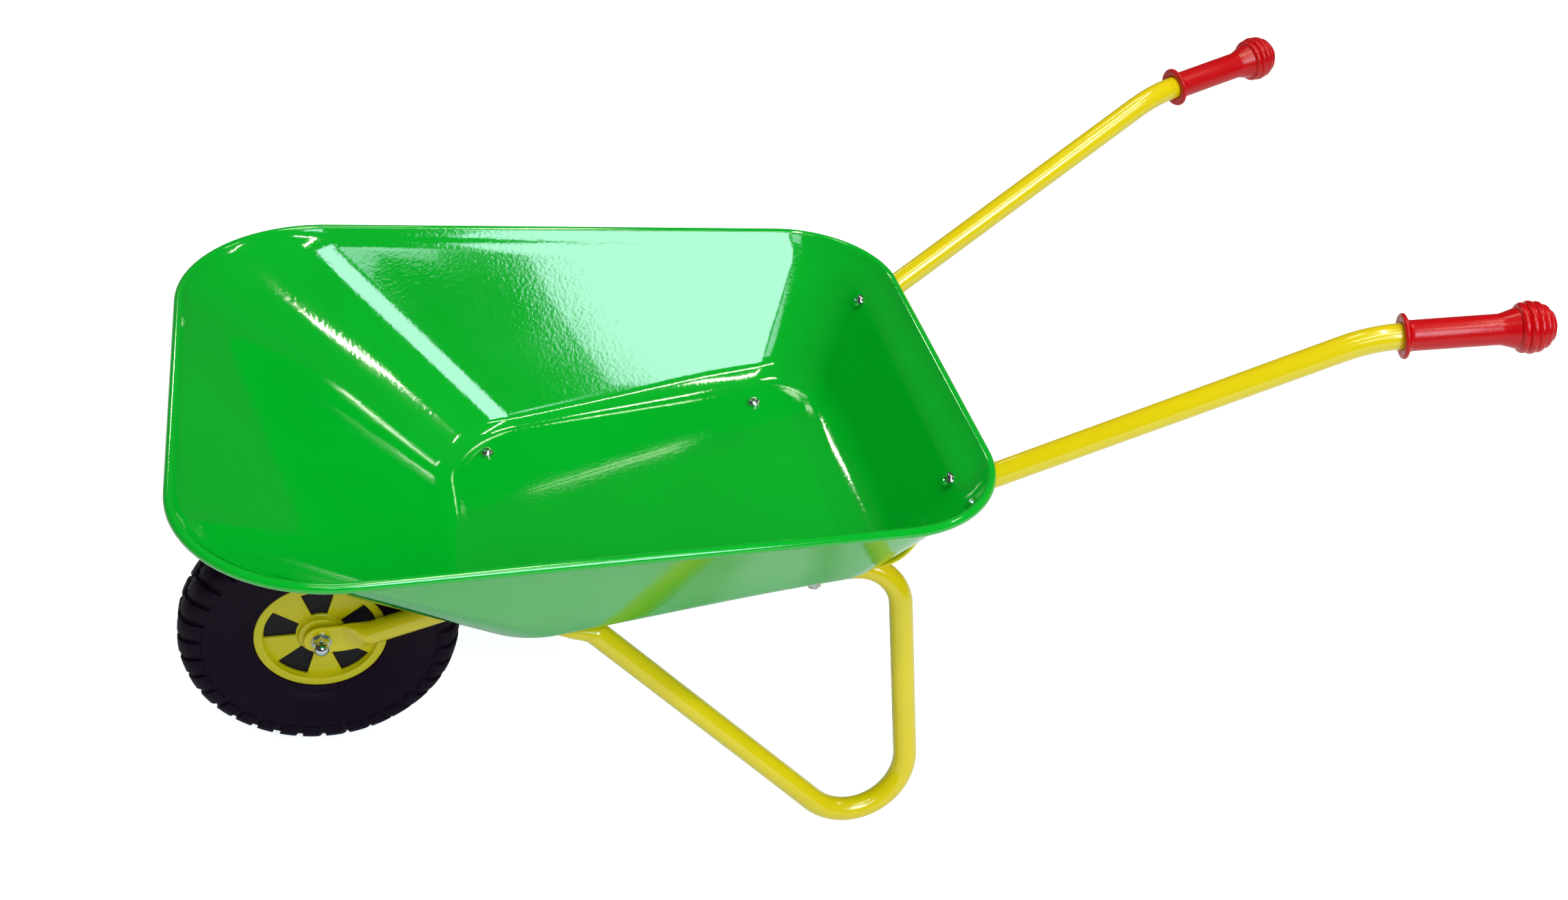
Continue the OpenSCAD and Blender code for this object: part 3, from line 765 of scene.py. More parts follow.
@dataclass
class Tray:
    """The pressed steel tray with its rolled rim."""

    sizes: Sizes
    finish: Finish
    corner_steps: int = 20
    side_steps: int = 14
    fillet_steps: int = 14
    lip_steps: int = 12
    bead_steps: int = 14
    wall_steps: int = 5
    floor_radii: tuple[float, float] = (55.0, 38.0)
    lip_in: tuple[float, float] = (9.0, 12.0)
    lip_tighter: tuple[float, float] = (4.0, 25.0)
    lip_run: float = 5.0
    lip_share: float = 0.45
    bead_foot: tuple[float, float] = (-0.94, 0.34)
    bead_start: float = 140.0
    bead_turn: float = 278.0
    floor_inset: float = 6.0

    def _outline(self, x0: float, x1: float, half0: float, half1: float,
                 radii: tuple[float, float]) -> tuple[list[Vector], list[Vector]]:
        """Gives a rounded outline seen from above, and its outward normals.

        Args:
            x0: Its front edge.
            x1: Its back edge.
            half0: Half its width in front.
            half1: Half its width behind.
            radii: Radii of the front and back corners.

        Returns:
            Points and normals, both in the plane, corner by corner with the sides between.
        """
        corners = [Vector((x, half, 0)) for x, half in ((x0, -half0), (x1, -half1), (x1, half1), (x0, half0))]
        sizes = [radii[0], radii[1], radii[1], radii[0]]
        points: list[Vector] = []
        normals: list[Vector] = []
        arcs = [Corner(corners[k - 1], corners[k], corners[(k + 1) % 4], sizes[k]).arc(self.corner_steps)
                for k in range(4)]
        for k, arc in enumerate(arcs):
            for point, along in arc:
                points.append(point)
                normals.append(Vector((along.y, -along.x, 0)))
            following = arcs[(k + 1) % 4][0]
            for i in range(1, self.side_steps):
                points.append(mixed(arc[-1][0], following[0], i / self.side_steps))
                normals.append(normals[-1].copy())
        return points, normals

    def _section(self, floor: Vector, lip: Vector, rim: Vector, n: Vector) -> list[Vector]:
        """Gives the inner surface from the floor's edge up to the rolled rim.

        Args:
            floor: The floor's own corner line.
            lip: Where the wall turns out.
            rim: The middle of the rolled rim.
            n: The outward normal seen from above.

        Returns:
            The points, from the floor to the rim.
        """
        s = self.sizes
        wall = (lip - floor).normalized()
        rise = math.acos(math.hypot(wall.x, wall.y))
        run = s.fillet * math.tan(rise / 2)
        start = floor - n * run
        start.z = s.floor_z(start.x)
        bead_in = rim + s.bead_r * (self.bead_foot[0] * n + Vector((0, 0, self.bead_foot[1])))
        found = []
        folded = (start, floor, floor + wall * run)
        turned = (lip - wall * self.lip_run, lip, mixed(lip, bead_in, self.lip_share))
        for ends, steps in ((folded, self.fillet_steps), (turned, self.lip_steps)):
            if found:
                for k in range(1, self.wall_steps + 1):
                    found.append(mixed(found[-1], ends[0], 1 / (self.wall_steps + 2 - k)))
            for k in range(steps + 1):
                t = k / steps
                found.append((1 - t) ** 2 * ends[0] + 2 * t * (1 - t) * ends[1] + t * t * ends[2])
        found.append(bead_in)
        return found

    def build(self, bench: Bench) -> None:
        """Builds the tray as one closed sheet and dresses it.

        Args:
            bench: Where the piece goes.
        """
        s = self.sizes
        floors, _ = self._outline(s.floor_front_x, s.floor_back_x, s.floor_front_half, s.floor_back_half,
                                  self.floor_radii)
        lips, _ = self._outline(s.lip_front_x, s.lip_back_x, s.rim_front_half - self.lip_in[0],
                                s.rim_back_half - self.lip_in[1],
                                (s.front_corner_r - self.lip_tighter[0],
                                 s.back_corner_r - self.lip_tighter[1]))
        rims, normals = self._outline(s.rim_front_x, s.rim_back_x, s.rim_front_half, s.rim_back_half,
                                      (s.front_corner_r, s.back_corner_r))
        strips = []
        for f, l, r, n in zip(floors, lips, rims, normals):
            f.z, l.z, r.z = s.floor_z(f.x), s.lip_z(l.x), s.rim_z(r.x)
            inner = self._section(f, l, r, n)
            bead = []
            for k in range(self.bead_steps):
                a = math.radians(self.bead_start - self.bead_turn * k / (self.bead_steps - 1))
                bead.append(r + s.bead_r * (n * math.cos(a) + Vector((0, 0, math.sin(a)))))
            outer = []
            for j in range(len(inner) - 2, -1, -1):
                step = inner[min(j + 1, len(inner) - 1)] - inner[max(j - 1, 0)]
                along, up = step.dot(n), step.z
                if j == 0:
                    outer.append(inner[0] - Vector((0, 0, s.sheet / math.cos(s.floor_slope))))
                else:
                    out = n * up - Vector((0, 0, along))
                    outer.append(inner[j] + s.sheet / math.hypot(along, up) * out)
            strips.append(inner + bead + outer)
        shape = Shape()
        shape.loft([list(row) for row in zip(*strips)], rim=self.floor_inset)
        shape.settle()
        bench.deliver(shape, "pressed_tray", self.finish, "frame", ("tray",), crease=60)


# ---------------------------------------------------------------- tubes


@dataclass
class TubeWork:
    """The bent tubes: two legs with their forks, and two handles.

    The fork's points are measured from the axle, and the handle's bend from the axle's foot.
    """

    sizes: Sizes
    finish: Finish
    bend_step: float = math.radians(3.5)
    eye_mid: float = 15.7
    eye_run: float = 12.0
    fork_bend: tuple[float, float, float] = (24.0, 16.6, 0.9)
    fork_clear: tuple[float, float, float] = (58.8, 31.1, 24.1)
    fork_r: float = 60.0
    top_r: float = 27.0
    foot_r: float = 36.0
    leg_top_x: float = 350.0
    foot_at: tuple[float, float] = (364.9, 150.4)
    stay_end: tuple[float, float] = (161.0, 100.8)
    stay_drop: float = 2.2
    tab_run: float = 24.0
    handle_bend: tuple[float, float] = (584.3, 361.6)
    handle_rise: float = math.radians(30.8)
    rim_inset: float = 1.2
    rim_gap: float = 0.5
    knee_r: float = 30.0
    knee_run: float = 18.0
    press_run: float = 22.0
    grip_bend_r: float = 92.0
    grip_rise: float = math.radians(10.4)
    flange_run: float = 17.6
    grip_seat: float = 55.7

    def _tip(self, p: Vector, u: Vector, n: Vector, r: float) -> list[Ring]:
        """Gives the rings of a pressed, rounded end.

        Args:
            p: The end's centre.
            u: The direction it opens towards.
            n: The normal of its flat side.
            r: Its radius.

        Returns:
            The rings, from the tip inwards.
        """
        angles = [math.radians(a) for a in (5, 14, 24, 35, 46, 57, 68, 79, 90)]
        return [Ring(p - u.normalized() * r * math.cos(a), u, n, r * math.sin(a), self.sizes.strap_t / 2, 1.0)
                for a in angles]

    def _pressed(self, a: Vector, b: Vector, u0: Vector, u1: Vector, n: Vector, w: float) -> list[Ring]:
        """Leads from a flat section to a round one.

        Args:
            a: Where the flat ends.
            b: Where the tube is round again.
            u0: The direction at a.
            u1: The direction at b.
            n: The normal of the flat side.
            w: Half the flat's width.

        Returns:
            The rings between the two.
        """
        r, thin, steps, found = self.sizes.tube_r, self.sizes.strap_t / 2, 16, []
        for k in range(steps + 1):
            t = k / steps
            f = (1 - math.cos(math.pi * t)) / 2
            found.append(Ring(mixed(a, b, t), mixed(u0, u1, t), n, w + (r - w) * f,
                              thin + (r - thin) * f, 1 - f))
        return found

    def _bend(self, corner: Corner, n: Vector) -> list[Ring]:
        """Carries the round tube round a bend.

        Args:
            corner: The bend.
            n: The normal that the rings start from.

        Returns:
            The bend's rings.
        """
        steps = max(4, math.ceil(corner.turn / self.bend_step))
        r = self.sizes.tube_r
        return [Ring(p, u, n, r, r) for p, u in corner.arc(steps)]

    def _standing_foot(self, leg_top: Vector, front: Vector) -> Vector:
        """Lowers the foot's corner until its bend just stands on the ground.

        Args:
            leg_top: The corner above the foot.
            front: The end of the stay in front of it.

        Returns:
            The foot's corner.
        """
        foot = Vector((*self.foot_at, -49))
        for _ in range(12):
            bend = Corner(leg_top, foot, front, self.foot_r)
            low = bend.centre.z - self.foot_r * math.hypot(bend.axis.x, bend.axis.y) - self.sizes.tube_r
            foot = foot - Vector((0, 0, low))
        return foot

    def leg_tube(self) -> Shape:
        """Bends one frame tube, from the axle's eye back, down round the foot and up to the front bolt.

        Returns:
            The tube on the modelled side.
        """
        s = self.sizes
        slope = math.tan(s.floor_slope)
        axle = Vector((0, 0, s.wheel_r))
        fork_bend, fork_clear = axle + Vector(self.fork_bend), axle + Vector(self.fork_clear)
        d = (fork_clear - fork_bend).normalized()
        rail = s.sheet + 2 * s.gap + s.strap_t + s.tube_r
        rise = s.under_floor(0, rail) - fork_bend.z + fork_bend.x * slope
        top = fork_bend + d * (rise / (d.z / d.x - slope) / d.x)
        rear = Vector((*s.bolt_rear, s.under_floor(s.bolt_rear[0], rail)))
        leg_top = top + (rear - top) * ((self.leg_top_x - top.x) / (rear.x - top.x))
        stay_depth = s.sheet + s.tube_r + self.stay_drop
        front = Vector((*self.stay_end, s.under_floor(self.stay_end[0], stay_depth)))
        foot = self._standing_foot(leg_top, front)
        side_n = Vector((0, 1, 0))
        floor_n = Vector((-math.sin(s.floor_slope), 0, math.cos(s.floor_slope)))
        ahead = Vector((1, 0, 0))
        eye = Vector((0, self.eye_mid, s.wheel_r))
        start = fork_bend + d * self.eye_run
        eye_r = s.strap_w / 2 - 0.4
        rings = self._tip(eye, ahead, side_n, eye_r)
        rings += self._pressed(eye + self.eye_run * ahead, start - d, ahead, d, side_n, eye_r)
        for corner in (Corner(start, top, leg_top, self.fork_r), Corner(top, leg_top, foot, self.top_r),
                       Corner(leg_top, foot, front, self.foot_r)):
            rings += self._bend(corner, side_n)
        up = (front - foot).normalized()
        rings.append(Ring(front, up, side_n, s.tube_r, s.tube_r))
        bx, by = s.bolt_front
        tab = Vector((bx, by, s.under_floor(bx, s.sheet + s.gap + s.strap_t / 2)))
        tab_u = Vector((front.x - bx, front.y - by, (front.x - bx) * slope)).normalized()
        back = self._tip(tab, tab_u, floor_n, s.strap_w / 2)
        back += self._pressed(tab + tab_u * self.tab_run, front + up, tab_u, -up, floor_n, s.strap_w / 2)
        rings += [Ring(r.place, -r.along, r.normal, r.half_w, r.half_t, r.flat) for r in reversed(back)]
        return self._swept(rings)

    @staticmethod
    def _swept(rings: list[Ring]) -> Shape:
        """Sweeps a finished tube.

        Args:
            rings: Its rings from end to end.

        Returns:
            The tube.
        """
        shape = Shape()
        shape.sweep(rings)
        shape.settle()
        return shape

    def _on_handle(self, x: float, z: float) -> Vector:
        """Puts a point of the handle's side view onto its splayed plane."""
        s = self.sizes
        return Vector((x, s.bolt_rear[1] + (x - s.bolt_rear[0]) * math.tan(s.splay), z))

    def _along(self, a: float) -> Vector:
        """Gives the direction of the handle where its side view rises at a."""
        return Vector((math.cos(a), math.cos(a) * math.tan(self.sizes.splay), math.sin(a)))

    def grip_line(self) -> tuple[Vector, Vector]:
        """Gives where the grip's flange stands and the direction of the grip."""
        u = self._along(self.grip_rise).normalized()
        return self._on_handle(*self.handle_bend) + u * self.flange_run, u

    def handle_tube(self) -> Shape:
        """Bends one handle: a strap under the floor and up the back wall, then the round tube.

        Returns:
            The tube on the modelled side.
        """
        s = self.sizes
        slope, wall = s.floor_slope, s.back_slope
        strap_mid = s.sheet + 1.5 * s.gap + s.strap_t / 2
        wall_dir = Vector((math.cos(wall), math.sin(wall)))
        wall_out = Vector((math.sin(wall), -math.cos(wall)))
        line = Vector((s.lip_back_x, s.lip_z(s.lip_back_x))) + wall_out * (s.sheet + 1.5 * s.gap + s.tube_r)
        under_rim = (s.bead_r + s.tube_r + self.rim_gap) / math.cos(self.handle_rise)
        over = Vector((s.rim_back_x - self.rim_inset, s.rim_back_z - under_rim))
        v = Vector(self.handle_bend) - over
        knee = line + wall_dir * ((over - line).cross(v) / wall_dir.cross(v))
        rounded = knee - wall_dir * self.knee_run
        strap_end = rounded - wall_out * (s.tube_r - s.strap_t / 2) - wall_dir * self.press_run

        def off(a: float) -> Vector:
            """Gives the strap's normal where its side view rises at a."""
            return Vector((-math.sin(a), 0, math.cos(a)))

        up, turned = off(slope), s.fillet * math.tan((wall - slope) / 2)
        corner = Vector((s.floor_back_x, s.floor_z(s.floor_back_x)))
        centre = corner - turned * Vector((up.z, -up.x)) + s.fillet * Vector((up.x, up.z))
        bolt = Vector((s.bolt_rear[0], s.floor_z(s.bolt_rear[0]))) - strap_mid * Vector((up.x, up.z))
        w = s.strap_w / 2
        rings = self._tip(self._on_handle(*bolt), self._along(slope), up, w)
        steps = 16
        for k in range(steps + 1):
            a = slope + (wall - slope) * k / steps
            place = centre + (s.fillet + strap_mid) * Vector((math.sin(a), -math.cos(a)))
            rings.append(Ring(self._on_handle(*place), self._along(a), off(a), w, s.strap_t / 2, 1.0))
        along, n = self._along(wall), off(wall)
        rings += self._pressed(self._on_handle(*strap_end), self._on_handle(*(rounded - wall_dir * 0.5)),
                               along, along, n, w)
        grip, u = self.grip_line()
        path = [self._on_handle(*rounded), self._on_handle(*knee), self._on_handle(*self.handle_bend),
                grip + u * self.grip_seat]
        rings.append(Ring(path[0], along, n, s.tube_r, s.tube_r))
        rings += self._bend(Corner(path[0], path[1], path[2], self.knee_r), n)
        rings += self._bend(Corner(path[1], path[2], path[3], self.grip_bend_r), n)
        rings.append(Ring(path[3], u, n, s.tube_r, s.tube_r))
        return self._swept(rings)

    def build(self, bench: Bench) -> None:
        """Builds both frame tubes and both handles.

        Args:
            bench: Where the pieces go.
        """
        for side in Side:
            word = side.word
            bench.deliver(self.leg_tube(), f"{word}_leg_tube", self.finish, "frame",
                          (f"{word}_frame_tube",), side)
            bench.deliver(self.handle_tube(), f"{word}_handle_tube", self.finish, "frame",
                          (f"{word}_handle",), side)


# ---------------------------------------------------------------- grips


@dataclass
class Grips:
    """The two red plastic grips with a dished flange and a ribbed knob."""

    tubes: TubeWork
    finish: Finish
    length: float = 84.0
    barrel_r: float = 8.8
    bore_r: float = 7.6
    bore_depth: float = 56.0
    flange_r: float = 13.0
    knob_r: float = 14.95
    knob_back: float = 1.0
    flare_at: float = 51.5
    flare_steps: int = 9
    rib_start: float = math.radians(-30)
    rib_depth: float = 1.3
    rib_pitch: float = math.radians(19.5)
    rib_steps: int = 9
    ribs: int = 5

    def profile(self) -> Profile:
        """Draws the grip's outer profile and its bore.

        Returns:
            The points, from the bore's floor out of its mouth and round to the knob's tip.
        """
        flange, barrel = self.flange_r, self.barrel_r
        points: Profile = [(0.0, self.bore_depth), (self.bore_r, self.bore_depth), (self.bore_r, -0.6),
                           (8.1, -1.3), (10.0, -1.5), (flange - 1.2, -1.8), (flange - 0.5, -1.5),
                           (flange, -0.6), (flange - 0.1, 0.3), (flange - 0.7, 0.8), (barrel + 2.0, 1.5),
                           (barrel + 0.8, 2.1), (barrel + 0.2, 3.2), (barrel, 4.6)]
        middle = self.length - self.knob_r - self.knob_back
        valley = self.knob_r - self.rib_depth
        end = (valley * math.cos(self.rib_start), middle + valley * math.sin(self.rib_start))
        for i in range(self.flare_steps):
            t = i / self.flare_steps
            points.append((barrel + (end[0] - barrel) * t ** 1.12,
                           self.flare_at + (end[1] - self.flare_at) * t))
        for i in range(self.rib_steps * self.ribs + 1):
            a = self.rib_start + self.rib_pitch * i / self.rib_steps
            reach = valley + self.rib_depth * abs(math.sin(math.pi * i / self.rib_steps)) ** 0.55
            points.append((reach * math.cos(a), middle + reach * math.sin(a)))
        last = self.rib_start + self.rib_pitch * self.ribs
        for i in range(1, 8):
            a = last + (math.pi / 2 - last) * i / 7
            reach = valley + self.rib_depth * 0.9 * math.sin(math.pi / 2 * min(1.0, i / 3))
            points.append((reach * math.cos(a) if i < 7 else 0.0, middle + reach * math.sin(a)))
        return points

    def build(self, bench: Bench) -> None:
        """Builds both grips.

        Args:
            bench: Where the pieces go.
        """
        start, along = self.tubes.grip_line()
        stand = Matrix.Translation(start) @ along.to_track_quat("Z", "Y").to_matrix().to_4x4()
        for side in Side:
            shape = Shape()
            shape.turn(self.profile(), steps=80)
            shape.settle()
            shape.move(stand)
            bench.deliver(shape, f"{side.word}_hand_grip", self.finish, "frame", (f"{side.word}_grip",),
                          side, crease=50)


# ---------------------------------------------------------------- wheel


@dataclass
class Wheel:
    """The wheel: tyre with tread lugs, and two spoked hub caps."""

    sizes: Sizes
    rubber: Finish
    plastic: Finish
    half_width: float = 20.5
    lugs: int = 34
    lug_share: float = 0.7
    lug_stagger: float = 0.25
    lug_slant: float = 0.0042
    tread_in: float = 72.6
    cap_r: float = 41.4
    cap_out: float = 12.4
    cap_t: float = 1.6
    ring_w: float = 5.6
    recess: float = 3.4
    boss_r: float = 13.9
    bore_r: float = 4.6
    spokes: int = 5

    @property
    def stand(self) -> Matrix:
        """Turns a shape drawn round the z axis onto the axle, its outside to the right."""
        turned = Matrix(((1, 0, 0, 0), (0, 0, 1, 0), (0, 1, 0, 0), (0, 0, 0, 1)))
        return Matrix.Translation((0, 0, self.sizes.wheel_r)) @ turned

    def tyre(self) -> Shape:
        """Builds the tyre: a carcass with bead and side wall, and two staggered rows of lugs.

        Returns:
            The tyre on its axle.
        """
        r, half = self.sizes.wheel_r, self.half_width
        flank: Profile = [(39.1, 10.6), (41.7, 10.6), (41.8, 12.6), (43.2, 13.6), (45.2, 14.0), (46.6, 14.6),
                          (48.4, 16.0), (51.5, 17.6), (55.5, 18.8), (60.0, 19.4), (65.0, 19.6), (70.0, 19.5),
                          (74.0, 19.0), (77.5, 18.0), (80.8, 16.4), (83.2, 13.6), (84.7, 9.6), (85.3, 5.0)]
        shape = Shape()
        shape.turn(flank + [(p[0], -p[1]) for p in reversed(flank)], steps=112, closed=True)
        pitch = FULL_TURN / self.lugs
        section: Profile = [(72.5, 18.9), (73.2, half - 0.35), (77.6, half - 0.45), (81.8, half - 2.6),
                            (85.2, half - 6.8), (86.9, half - 12.2), (r, 1.8), (84.4, 1.4), (82.0, 9.0),
                            (78.0, 16.4)]
        for k in range(self.lugs):
            for way in (1, -1):
                made = shape.turn([(a, way * b) for a, b in section], steps=2, angle=pitch * self.lug_share,
                                  start=pitch * (k + self.lug_stagger * way), closed=True)
                for v in made:
                    v.co = Matrix.Rotation(self.lug_slant * abs(v.co.z) * way, 3, "Z") @ v.co
        shape.settle()
        edges = [e for e in shape.bm.edges if len(e.link_faces) == 2 and e.calc_face_angle(0) > 0.9
                 and all((v.co.x ** 2 + v.co.y ** 2) ** 0.5 > self.tread_in for v in e.verts)]
        shape.soften(edges, 0.45)
        shape.move(self.stand)
        return shape

    def cap(self) -> Shape:
        """Builds one hub cap: a flat ring, a sunk disc of spokes and a boss with a bore.

        Returns:
            The cap on its axle, on the right.
        """
        out, web, boss_r, cap_r = self.cap_out, self.cap_out - self.recess, self.boss_r, self.cap_r
        ring_in = cap_r - self.ring_w
        window_in, window_out = boss_r + 1.6, ring_in - 0.6
        low, back = web - self.cap_t, out - self.cap_t
        rim: Profile = [(window_out, low), (ring_in + 0.6, low), (ring_in + 0.9, back), (cap_r, back),
                        (cap_r, out - 0.7), (cap_r - 0.25, out - 0.2), (cap_r - 0.8, out),
                        (ring_in + 0.8, out), (ring_in + 0.2, out - 0.2), (ring_in, out - 0.8),
                        (ring_in - 0.3, web + 0.2), (window_out, web - 0.1)]
        boss: Profile = [(self.bore_r, low), (window_in, low), (window_in, web - 0.2), (window_in - 0.2, web),
                         (boss_r + 1.3, web), (boss_r + 0.7, web + 0.4), (boss_r, out - 1.2),
                         (boss_r - 0.3, out - 0.3), (boss_r - 1.0, out), (self.bore_r + 0.8, out),
                         (self.bore_r, out - 0.5)]
        spoke: Profile = [(window_in - 0.6, low), (window_out + 0.6, low), (window_out + 0.6, web),
                          (window_in - 0.6, web)]
        shape = Shape()
        shape.turn(rim, steps=120, closed=True)
        shape.turn(boss, steps=96, closed=True)
        pitch = FULL_TURN / self.spokes
        for k in range(self.spokes):
            made = shape.turn(spoke, steps=10, angle=pitch / 2, start=-math.pi / 2 + pitch * (k - 0.25),
                              closed=True)
            sides = {e for v in made for e in v.link_edges
                     if len(e.link_faces) == 2 and e.calc_face_angle(0) > 1.2
                     and min(v.co.z for v in e.verts) > web - 0.01}
            shape.soften(list(sides), 0.3)
        shape.settle()
        shape.move(self.stand)
        return shape

    def build(self, bench: Bench) -> None:
        """Builds the tyre and both hub caps.

        Args:
            bench: Where the pieces go.
        """
        bench.deliver(self.tyre(), "treaded_tyre", self.rubber, "wheel", ("tyre",), crease=38)
        for side in Side:
            bench.deliver(self.cap(), f"{side.word}_spoked_cap", self.plastic, "wheel",
                          (f"{side.word}_hub_cap",), side, crease=40)


# ---------------------------------------------------------------- fasteners


@dataclass
class Fasteners:
    """Bolts with a cross recess, hex nuts, and the axle's dome nuts."""

    sizes: Sizes
    tubes: TubeWork
    chrome: Finish
    zinc: Finish
    shank_r: float = 2.5
    head_r: float = 4.7
    head_h: float = 3.2
    thread_start: float = 0.6
    thread_turns: int = 11
    thread_pitch: float = 0.8
    thread_depth: float = 0.32
    cross_turn: float = 0.4
    nut_h: float = 4.0
    nut_across: float = 8.0
    nut_bore: float = 2.55
    bolt_past: float = 1.5
    washer_t: float = 1.0
    washer_r: float = 5.0
    dome_r: float = 4.7
    dome_nut_h: float = 5.0
    dome_nut_across: float = 10.0
    dome_nut_bore: float = 2.6
    axle_seat: float = 18.2
    knee_rise: float = math.radians(30.85)
    knee_lift: float = 1.25

    def bolt(self, length: float) -> Shape:
        """Turns a pan-head bolt with a cross recess and a threaded end.

        Args:
            length: Length under the head.

        Returns:
            The bolt, with z along it and its head on z = 0.
        """
        r, head_r = self.shank_r, self.head_r
        thread_from = -length + self.thread_start
        profile: Profile = [(0.0, -length), (r - 0.5, -length)]
        for k in range(self.thread_turns):
            z = thread_from + self.thread_pitch * k
            profile += [(r, z), (r - self.thread_depth, z + self.thread_pitch / 2)]
        profile += [(r, thread_from + self.thread_pitch * self.thread_turns), (r, 0.05),
                    (head_r - 0.25, 0.05), (head_r, 0.3)]
        for i in range(1, 13):
            a = math.pi / 2 * i / 12
            profile.append((head_r * (0.42 + 0.58 * math.cos(a)), self.head_h * (0.3 + 0.7 * math.sin(a))))
        profile.append((0.0, self.head_h))
        shape = Shape()
        shape.turn(profile, steps=40)
        shape.settle()
        for turn in (0, math.pi / 2):
            arm = Shape()
            corners = bmesh.ops.create_cube(arm.bm, size=1.0)["verts"]
            for v in corners:
                flare = 1.0 if v.co.z > 0 else 0.45
                v.co = Vector((v.co.x * 5.0 * flare, v.co.y * 1.05 * (0.7 + 0.3 * flare), v.co.z * 3.0))
            bmesh.ops.rotate(arm.bm, verts=corners, matrix=Matrix.Rotation(turn + self.cross_turn, 3, "Z"))
            bmesh.ops.translate(arm.bm, verts=corners, vec=(0, 0, self.head_h))
            shape.cut(arm)
        return shape

    def nut(self, height: float, across: float, bore: float) -> Shape:
        """Makes a hex nut with chamfered corners and a bore.

        Args:
            height: Its height.
            across: Its width across the flats.
            bore: Radius of its bore.

        Returns:
            The nut standing on z = 0.
        """
        shape = Shape()
        hexagon = bmesh.ops.create_circle(shape.bm, cap_ends=True, segments=6,
                                          radius=across / 2 / math.cos(math.pi / 6))
        face = hexagon["verts"][0].link_faces[0]
        top = bmesh.ops.extrude_face_region(shape.bm, geom=[face])["geom"]
        bmesh.ops.translate(shape.bm, verts=[g for g in top if isinstance(g, bmesh.types.BMVert)],
                            vec=(0, 0, height))
        bmesh.ops.bevel(shape.bm, geom=shape.bm.verts[:], offset=0.55, affect="VERTICES", segments=1,
                        profile=0.5, material=-1)
        hard = [e for e in shape.bm.edges if len(e.link_faces) == 2 and e.calc_face_angle(0) > 0.3]
        shape.soften(hard, 0.12)
        shape.settle()
        drill = Shape()
        drill.turn([(0.0, -1.0), (bore, -1.0), (bore, height + 1.0), (0.0, height + 1.0)], steps=32)
        drill.settle()
        shape.cut(drill)
        return shape

    def dome_nut(self) -> Shape:
        """Makes the axle's dome nut: a hexagon with a domed cap.

        Returns:
            The nut standing on z = 0.
        """
        r, seat = self.dome_r, self.dome_nut_h
        shape = self.nut(seat, self.dome_nut_across, self.dome_nut_bore)
        dome: Profile = [(0.0, seat - 0.4), (r - 0.3, seat - 0.4), (r - 0.3, seat - 0.1), (r, seat + 0.1),
                         (r, seat + 1.0)]
        dome += [(r * math.cos(a), seat + 1.0 + r * math.sin(a))
                 for a in [math.pi / 2 * i / 12 for i in range(1, 13)]]
        dome.append((0.0, seat + 1.0 + r))
        cap = Shape()
        cap.turn(dome, steps=48)
        cap.settle()
        shape.add(cap, Matrix())
        cap.bm.free()
        return shape

    def _floor_stand(self, at: tuple[float, float]) -> Matrix:
        """Stands a fastener square to the floor.

        Args:
            at: Where its bolt is, seen from above.

        Returns:
            The move from the fastener's own place.
        """
        spot = Vector((*at, self.sizes.floor_z(at[0])))
        return Matrix.Translation(spot) @ Matrix.Rotation(-self.sizes.floor_slope, 4, "Y")

    def _wall_depth(self, reach: float) -> float:
        """Works out the wall bolts' grip, past the sheet and the bent handle tube.

        Args:
            reach: Depth of the far corner of the CAD nuts' box, a bound only.

        Returns:
            The depth of the washers' inner face below the wall.
        """
        s = self.sizes
        half = (s.back_slope - self.knee_rise) / 2
        bulge = self.tubes.knee_r * (1 / math.cos(half) - 1) + self.washer_r * math.sin(half)
        return min(s.sheet + 2 * s.gap + 2 * s.tube_r + bulge + self.knee_lift, reach)

    def build(self, bench: Bench) -> None:
        """Builds every bolt, nut and dome nut, two to a piece where they are alike.

        Args:
            bench: Where the pieces go.
        """
        s = self.sizes
        front = s.sheet + 1.5 * s.gap + s.strap_t
        rear = s.sheet + 2.5 * s.gap + s.strap_t + 2 * s.tube_r
        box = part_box("wall_nuts")
        wall_stand = Matrix.Translation(s.wall_bolt) @ Matrix.Rotation(-s.back_slope, 4, "Y")
        low_back = Vector(((box[1].x - bench.axle_x) * 1000, s.wall_bolt.y, box[0].z * 1000))
        wall = self._wall_depth(-(wall_stand.inverted() @ low_back).z)
        LOG.info("wall bolt grip %.2f mm", wall)
        rows = (("front_floor", front, self._floor_stand(s.bolt_front)),
                ("rear_floor", rear, self._floor_stand(s.bolt_rear)),
                ("wall", wall, wall_stand))
        mirror = Matrix.Diagonal((1, -1, 1, 1))
        for word, depth, stand in rows:
            nut_drop = depth + self.washer_t + s.gap / 2 + self.nut_h
            for kind, made, drop, finish in (
                    ("bolts", self.bolt(nut_drop + self.bolt_past), 0.0, self.chrome),
                    ("nuts", self.nut(self.nut_h, self.nut_across, self.nut_bore), nut_drop, self.zinc)):
                pair = Shape()
                place = stand @ Matrix.Translation((0, 0, -drop))
                pair.add(made, place)
                pair.add(made, mirror @ place)
                made.bm.free()
                bench.deliver(pair, f"{word}_{kind}_finished", finish, "frame", (f"{word}_{kind}",),
                              crease=34)
        turned = Matrix(((1, 0, 0, 0), (0, 0, 1, self.axle_seat), (0, 1, 0, s.wheel_r), (0, 0, 0, 1)))
        for side in Side:
            nut = self.dome_nut()
            nut.move(turned)
            bench.deliver(nut, f"{side.word}_dome_nut", self.chrome, "frame", (f"{side.word}_axle_nut",),
                          side, crease=34)


# ---------------------------------------------------------------- studio


